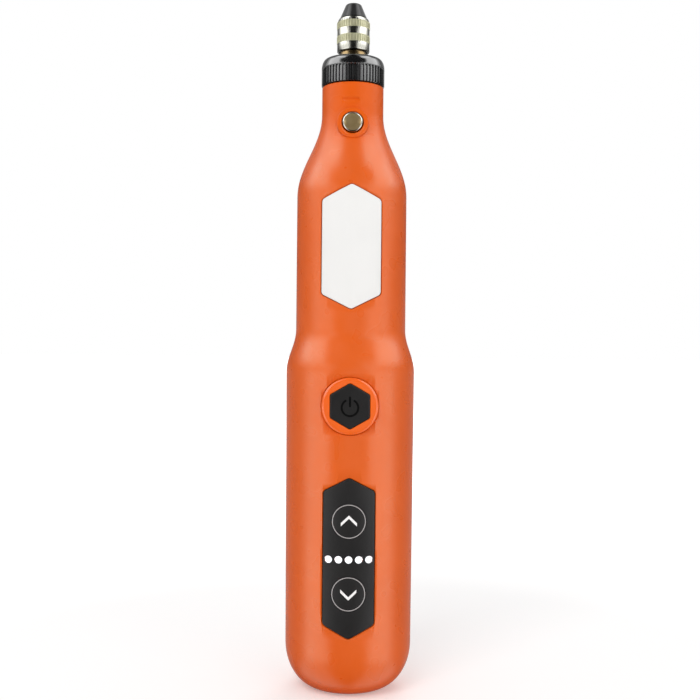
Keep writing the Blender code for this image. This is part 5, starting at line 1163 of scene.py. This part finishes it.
def moulded(name, dark, light, rough, grain, depth, **sockets):
    """A moulded plastic: slight flow marks in its colour, and the grain of its mould."""
    material, tree, shader = finish(name, light, IOR=1.5, **sockets)
    place = object_place(tree)
    tinted(tree, shader, graded(tree, noise(tree, FLOW_SIZE, place), 0, 1), dark, light)
    handled = noise(tree, HANDLING_SIZE, place, 1.0)
    uneven = graded(tree, handled, rough - ROUGH_SPREAD, rough + ROUGH_SPREAD)
    tree.links.new(uneven, shader.inputs["Roughness"])
    bumped(tree, shader, noise(tree, grain, place, 1.0), depth)
    return material


# Spark-eroded grain is about 0.1 mm on the real casing and drawn at 0.28 mm so that it shows.
# Its pigment mirrors less red than green, so the light bands turn yellow and not pink.
orange_abs = moulded("orange spark-eroded ABS", "#de590c", "#e35d10", 0.29, 0.28, 3, Specular_Tint="#a0ffed")
# The narrow neck is duller than the grip, where the mould was polished more.
tree = orange_abs.node_tree
height = add_node(tree, "ShaderNodeSeparateXYZ", {0: object_place(tree)}).outputs["Z"]
gloss = spread(tree, height, GLOSS_LOW_Z, GLOSS_HIGH_Z, GRIP_GLOSS, NECK_GLOSS)
tree.links.new(gloss, tree.nodes["Principled BSDF"].inputs["Specular IOR Level"])
# A polished mould leaves a clear edge of light along the ring. Its orange is painted lighter than the
# casing's: painted light, for the ring catching more light at its angle.
orange_painted_lighter = moulded("orange polished ABS", "#ee6216", "#f0661a", 0.2, 0.6, 3, Specular_IOR_Level=0.45)
# The plate, the panel and the power button are satin plastics that hardly mirror the lamps.
satin = {"Specular_IOR_Level": 0.16}
white_abs = moulded("white satin ABS", "#e7e6e4", "#ebeae8", 0.5, 0.5, 3, **satin)
black_pc = moulded("black satin polycarbonate", "#212020", "#272626", 0.45, 0.2, 4, **satin)
soft_black = moulded("black soft-touch ABS", "#201f1f", "#262525", 0.42, 0.2, 4, **satin)
# The nose cap is glass-filled nylon, which is hard, black and a little glossy.
glossy = {"Specular_IOR_Level": 0.9, "Coat_Weight": 0.4}
black_nylon = moulded("black glass-filled nylon", "#090a0b", "#0d0e0f", 0.15, 0.25, 1.5, **glossy)
print("moulded plastics are ready")

# %% [markdown]
# ## Printed ink and lights
# Pad-printing ink lies flat and dries a little uneven. The lights are frosted clear acrylic lit from
# behind, so they give a little light of their own, at a strength that renders as plain white.

# %% Ink and lights
INK_MOTTLE = 0.4


def printed(name, dark, light, **sockets):
    """Pad-printing ink, with the faint mottle of the pad."""
    material, tree, shader = finish(name, light, **sockets)
    tinted(tree, shader, graded(tree, noise(tree, INK_MOTTLE, object_place(tree)), 0, 1), dark, light)
    return material


white_ink = printed("white pad-printing ink", "#eeecea", "#fbfaf9", Roughness=0.5)
grey_ink = printed("grey pad-printing ink", "#a19c9b", "#b0abaa", Roughness=0.5)
black_ink = printed("black pad-printing ink", "#040404", "#080808", Roughness=0.7, Specular_IOR_Level=0.05)
own_light = {"Emission_Color": "#f6f9ff", "Emission_Strength": 0.75}
lit_acrylic, tree, shader = finish("lit frosted acrylic", "#f4f5f6", Roughness=0.35, **own_light)
bumped(tree, shader, noise(tree, 0.15, object_place(tree)), 10)
print("ink and lights are ready")

# %% [markdown]
# ## Metals
# Turned metal carries fine rings from the cutting tool. They are drawn as a noise that is squeezed
# along the tool's axis, so that it changes quickly with height and hardly at all round the piece. Each
# metal keeps the default IOR, and its colour does the rest.

# %% Metals
FEED_MARK = 0.09
TARNISH_SIZE = 2.0
TURNED = (0.02, 0.02, 1)
DRAWN = (1, 0.02, 1)
ROLLED = (1, 0.05, 1)


def turned_metal(name, dark, light, rough, depth, stretch=TURNED, **sockets):
    """A metal from the lathe, or drawn or rolled along another axis."""
    material, tree, shader = finish(name, light, **{"Metallic": 1.0, **sockets})
    marks = noise(tree, FEED_MARK, object_place(tree, stretch), 3.0)
    tarnish = noise(tree, TARNISH_SIZE, object_place(tree), 3.0)
    tinted(tree, shader, graded(tree, tarnish, 0, 1), dark, light)
    tree.links.new(graded(tree, marks, rough * 0.75, rough * 1.25), shader.inputs["Roughness"])
    bumped(tree, shader, marks, depth)
    return material


nickel_plate = turned_metal("bright nickel plate", "#9a9991", "#a5a49c", 0.18, 0.8)
knurled_nickel = turned_metal("knurled nickel plate", "#9c9a7b", "#afad90", 0.45, 2, Metallic=0.5)
turned_brass = turned_metal("turned brass", "#6b5a3e", "#7a684a", 0.28, 2)
coating = {"Metallic": 0.0, "Specular_IOR_Level": 0.18, "Sheen_Weight": 0.4}
coated_steel = turned_metal("black-coated steel", "#0c0c0c", "#121212", 0.16, 1, **coating)
ground_steel = turned_metal("ground steel", "#b4b4b0", "#c6c6c2", 0.25, 2)
# The lock head's crown is the same steel painted brown and made less metallic so that the brown shows: a
# painted reflection in its centre. Its rim is a copy in plain grey steel.
lock_steel_painted_reflection = turned_metal("lock steel with painted reflection", "#a38c60", "#b7a176", 0.2, 1, DRAWN, Metallic=0.6)
lock_edge_steel = turned_metal("polished lock edge", "#85827c", "#96938c", 0.2, 1, DRAWN)
zinc_steel = turned_metal("zinc-plated screw steel", "#b9bab6", "#cbccc8", 0.3, 3, ROLLED)
print("metals are ready")

# %% [markdown]
# ## What is inside
# The inner pieces show when the casing is opened or the model is cut. The motor's windings follow the
# slots of its armature, the board has a green lacquer over copper tracks, and the cell wears a printed
# shrink sleeve, which is left plain here.

# %% Inner finishes
WAVE_UNIT = 20
BAND_DEPTH = 1 / 12


def banded(name, dark, light, pitch, axis, **sockets):
    """Fine parallel lines along one axis, this many millimetres apart: windings, laminations or tracks."""
    material, tree, shader = finish(name, light, **sockets)
    scale = 1 / (pitch * MM) / WAVE_UNIT
    inputs = {"Vector": object_place(tree), "Scale": scale, "Distortion": 0.6, "Detail": 1.0}
    lines = add_node(tree, "ShaderNodeTexWave", inputs, bands_direction=axis).outputs["Fac"]
    tinted(tree, shader, lines, dark, light)
    bumped(tree, shader, lines, pitch * BAND_DEPTH * MM / MICRON)
    return material


banded_inside = {
    "copper": ("enamelled copper winding", "#8a4a22", "#c47c48", 0.35, "X", 0.9, 0.3),
    "motor_can": ("drawn steel motor can", "#a3a39f", "#b9b9b5", 0.5, "Z", 1.0, 0.32),
    "circuit_board": ("green lacquered glass-fibre board", "#15502e", "#1c6a3d", 0.9, "Z", 0.0, 0.28),
}
moulded_inside = {
    "black_plastic": ("black switch nylon", "#1a1a1a", "#222222", 0.5, 0.3, 10),
    "cell_wrap": ("blue PVC shrink sleeve", "#2b6a9c", "#3377ad", 0.32, 1.4, 10),
    "foam": ("black open-cell foam", "#1d1d1f", "#34343a", 0.95, 0.5, 120),
    "red_wire": ("red PVC wire sleeve", "#b5211d", "#c62a25", 0.42, 0.3, 4),
    "black_wire": ("black PVC wire sleeve", "#161616", "#1f1f1f", 0.42, 0.3, 4),
    "magnet": ("sintered ferrite magnet", "#2b2b2d", "#3a3a3d", 0.6, 0.25, 12),
    "rubber": ("black nitrile rubber", "#171717", "#202020", 0.62, 0.3, 8),
    "white_plastic": ("white switch ABS", "#e4e3df", "#eeede9", 0.4, 0.3, 4),
}
inner_finishes = {slot: moulded(*values) for slot, values in moulded_inside.items()}
for slot, (*values, metallic, rough) in banded_inside.items():
    inner_finishes[slot] = banded(*values, Metallic=metallic, Roughness=rough)
print(len(inner_finishes), "inner finishes")

# %% [markdown]
# ## Putting the finishes on
# New pieces take their finish by name. The plain pieces that stay keep their shape and get a finish by
# the slot that they belong to, except for the motor's can, which is named apart.

# %% Finishes on pieces
worn = {
    orange_abs: [front_casing, rear_casing],
    orange_painted_lighter: [power_ring],
    white_abs: [badge],
    black_pc: [panel, speed_up, speed_down],
    soft_black: [power_button],
    white_ink: [up_sign, down_sign],
    grey_ink: [up_circle, down_circle],
    black_ink: [standby_sign],
    lit_acrylic: [status_lights],
    lock_steel_painted_reflection: [lock_button],
    black_nylon: [nose_cap],
    turned_brass: [arbor],
    nickel_plate: [sleeve],
    coated_steel: [chuck_nose],
    zinc_steel: [screws],
}
for material, pieces in worn.items():
    for piece in pieces:
        piece.data.materials.clear()
        piece.data.materials.append(material)

sleeve.data.materials.append(knurled_nickel)
for face in sleeve.data.polygons:
    outer = math.hypot(face.center.x, face.center.y) > BAND_RADIUS - KNURL_DEPTH
    face.material_index = int(outer and any(low < face.center.z < high for low, high in KNURLS))

# The rim of the lock head takes the plain grey steel, and the crown inside keeps the painted brown
# reflection.
lock_button.data.materials.append(lock_edge_steel)
for face in lock_button.data.polygons:
    out = math.hypot(face.center.x, face.center.z - LOCK_Z)
    face.material_index = int(out > LOCK_RADIUS - LOCK_EDGE)

slot_finishes = {
    **inner_finishes,
    "casing": orange_abs,
    "bright_casing": orange_painted_lighter,
    "gloss_black_plastic": black_pc,
    "clear_plastic": lit_acrylic,
    "nickel": nickel_plate,
    "dark_steel": coated_steel,
    "steel": ground_steel,
    "brass": turned_brass,
}
for part in frame["record"]["subparts"]:
    node = part["node"]
    for slot_of in nodes[node].material_slots:
        slot_of.material = slot_finishes["motor_can" if node == "motor_can" else part["material_slot"]]
print(len(worn), "finishes on new pieces,", len(nodes), "plain pieces dressed")

# %% [markdown]
# ## Studio
# The photograph shows the tool from straight ahead on white. Two tall soft boxes to the left and right
# give the two bands of light on the casing, and a narrow dark gap ahead gives the black line down the
# chuck. Those reflections come from one ball round the tool that only glossy rays see, and its level is
# a rule of two angles: how far to the side, and how high. The light that fills the scene comes from the
# world and four soft lamps.

# %% Camera
CAMERA_PLACE = (-0.13 * MM, -289.0 * MM, 90.0 * MM)
CAMERA_ANGLE = math.radians(36.2)
CAMERA_ROLL = math.radians(0.54)

camera_data = bpy.data.cameras.new("camera")
camera_data.angle = CAMERA_ANGLE
camera_data.clip_start = 0.01
camera = linked("camera", camera_data)
turn = Matrix.Rotation(math.pi / 2, 4, "X") @ Matrix.Rotation(CAMERA_ROLL, 4, "Z")
camera.matrix_world = Matrix.Translation(CAMERA_PLACE) @ turn
bpy.context.scene.camera = camera
print("camera", round(-CAMERA_PLACE[1] / MM), "mm in front")

# %% [markdown]
# ## Reflections
# Each table below gives a value at some angles in degrees, and the values between them follow smoothly.
# The level across the soft boxes is read at the angle to the side, less the half width of the dark gap
# and divided by the reach of the boxes, which both change with height as the level does.

# %% Reflections
BALL_RADIUS = 1.4
BALL_LEVEL = 2.6
BOX_STEPS = ((0, 0.01), (4, 0.3), (9, 1), (45, 1), (56, 0.35), (68, 0.08), (95, 0.08), (120, 0.11))
LEVEL_STEPS = (
    (-90, 0.55), (-34, 0.55), (-20, 1.35), (3, 1.35), (6, 1.0), (9, 0.5), (12, 0.25), (13.6, 1.3),
    (15.2, 1.3), (15.8, 0.55), (18, 0.5), (24, 1.8), (40, 1.8), (48, 1.7), (60, 2.2), (68, 0.6), (90, 0.6),
)
GAP_STEPS = ((-90, 30), (11, 30), (15, 17), (21, 17), (26, 44), (45, 48), (54, 32), (90, 32))
REACH_STEPS = ((-90, 1.7), (-40, 1.7), (-22, 1), (11, 1), (16, 1.6), (22, 1.6), (26, 1.2), (90, 1.2))


def ramped(tree, value, steps):
    """A value read from a table of (place, level) steps."""
    low, high = steps[0][0], steps[-1][0]
    ramp = add_node(tree, "ShaderNodeValToRGB", {0: spread(tree, value, low, high)})
    ramp.color_ramp.interpolation = "EASE"
    while len(ramp.color_ramp.elements) < len(steps):
        ramp.color_ramp.elements.new(1.0)
    most = max(level for _, level in steps)
    for element, (place, level) in zip(ramp.color_ramp.elements, steps):
        element.position = (place - low) / (high - low)
        element.color = (level / most, level / most, level / most, 1)
    return maths(tree, "MULTIPLY", ramp.outputs[0], most)


mesh = bmesh.new()
bmesh.ops.create_uvsphere(mesh, u_segments=96, v_segments=48, radius=BALL_RADIUS)
ball = shown(mesh, "soft_box_ball")
material = bpy.data.materials.new("soft boxes round the tool")
material.use_nodes = True
tree = material.node_tree
tree.nodes.clear()
way = vector_maths(tree, "NORMALIZE", object_place(tree))
way = add_node(tree, "ShaderNodeSeparateXYZ", {0: way}).outputs
side = maths(tree, "ARCTAN2", way["X"], maths(tree, "MULTIPLY", way["Y"], -1.0))
side = maths(tree, "DEGREES", maths(tree, "ABSOLUTE", side))
rise = maths(tree, "DEGREES", maths(tree, "ARCSINE", way["Z"]))
gap, reach, height_level = [ramped(tree, rise, steps) for steps in (GAP_STEPS, REACH_STEPS, LEVEL_STEPS)]
side = maths(tree, "DIVIDE", maths(tree, "SUBTRACT", side, gap), reach)
level = maths(tree, "MULTIPLY", ramped(tree, side, BOX_STEPS), height_level)
glow = add_node(tree, "ShaderNodeEmission", {"Strength": maths(tree, "MULTIPLY", level, BALL_LEVEL)})
add_node(tree, "ShaderNodeOutputMaterial", {"Surface": glow.outputs[0]})
ball.data.materials.append(material)
for kind in ("camera", "diffuse", "transmission", "volume_scatter", "shadow"):
    setattr(ball, "visible_" + kind, False)
ball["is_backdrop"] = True
print("reflections come from a ball of", BALL_RADIUS, "m")

# %% [markdown]
# ## Floor, lamps and world
# The floor is white paper that gives a little light of its own to the camera, more with the distance
# from the tool, so that it runs out into the white background and still shows the tool's shadow.

# %% Floor, lamps and world
FLOOR_RADIUS = 12.0
FLOOR_NEAR = 0.12
FLOOR_FAR = 0.6
FLOOR_LIFT = 0.25
FLOOR_GLOW = 0.06
WORLD_FILL = 0.58
WHITE = "#ffffff"
LAMP_AIM = Vector((0, 0, 0.09))
LAMPS = {
    "key_lamp": ((-0.3, -0.7, 0.8), 0.5, 3.1),
    "fill_lamp": ((0.5, -0.75, 0.25), 0.6, 1.45),
    "low_lamp": ((0.0, -0.9, 0.05), 0.4, 1.15),
    "back_lamp": ((0.2, 0.9, 0.7), 0.6, 2.6),
}

mesh = bmesh.new()
bmesh.ops.create_circle(mesh, cap_ends=True, segments=64, radius=FLOOR_RADIUS)
floor = shown(mesh, "studio_floor")
paper = {"Roughness": 1.0, "Specular_IOR_Level": 0.0, "Emission_Color": WHITE}
material, tree, shader = finish("white paper floor", "#ededed", **paper)
away = vector_maths(tree, "LENGTH", object_place(tree))
lift = spread(tree, away, FLOOR_NEAR, FLOOR_FAR, FLOOR_LIFT, 1.0)
path = add_node(tree, "ShaderNodeLightPath").outputs
lift = maths(tree, "MULTIPLY", path["Is Camera Ray"], lift)
lift = maths(tree, "MAXIMUM", lift, FLOOR_GLOW)
tree.links.new(lift, shader.inputs["Emission Strength"])
floor.data.materials.append(material)
floor.visible_glossy = False
floor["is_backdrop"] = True

for name, (place, size, power) in LAMPS.items():
    data = bpy.data.lights.new(name, "AREA")
    data.size = size
    data.energy = power
    lamp = linked(name, data)
    lamp.location = place
    lamp.rotation_euler = (LAMP_AIM - Vector(place)).to_track_quat("-Z", "Y").to_euler()
    lamp.visible_glossy = False

world = bpy.data.worlds.new("white studio")
world.use_nodes = True
world.cycles.sampling_method = "NONE"
bpy.context.scene.world = world
tree = world.node_tree
back = tree.nodes["Background"]
back.inputs["Color"].default_value = linear(WHITE)
path = add_node(tree, "ShaderNodeLightPath").outputs
seen = maths(tree, "MAXIMUM", path["Is Camera Ray"], path["Is Glossy Ray"])
seen = maths(tree, "MAXIMUM", seen, path["Is Transmission Ray"])
tree.links.new(spread(tree, seen, 0.0, 1.0, WORLD_FILL, 1.0), back.inputs["Strength"])
bpy.context.scene.view_settings.view_transform = "Standard"
print("studio is set with", len(LAMPS), "lamps")

# %% [markdown]
# ## Sizes for the record
# The boxes of the mechanical model and of the dressed one are printed side by side.

# %% Sizes and the end
visual_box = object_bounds()
for corner, seen in zip(cad_box, visual_box):
    print([round(value / MM, 2) for value in corner], "against", [round(value / MM, 2) for value in seen])
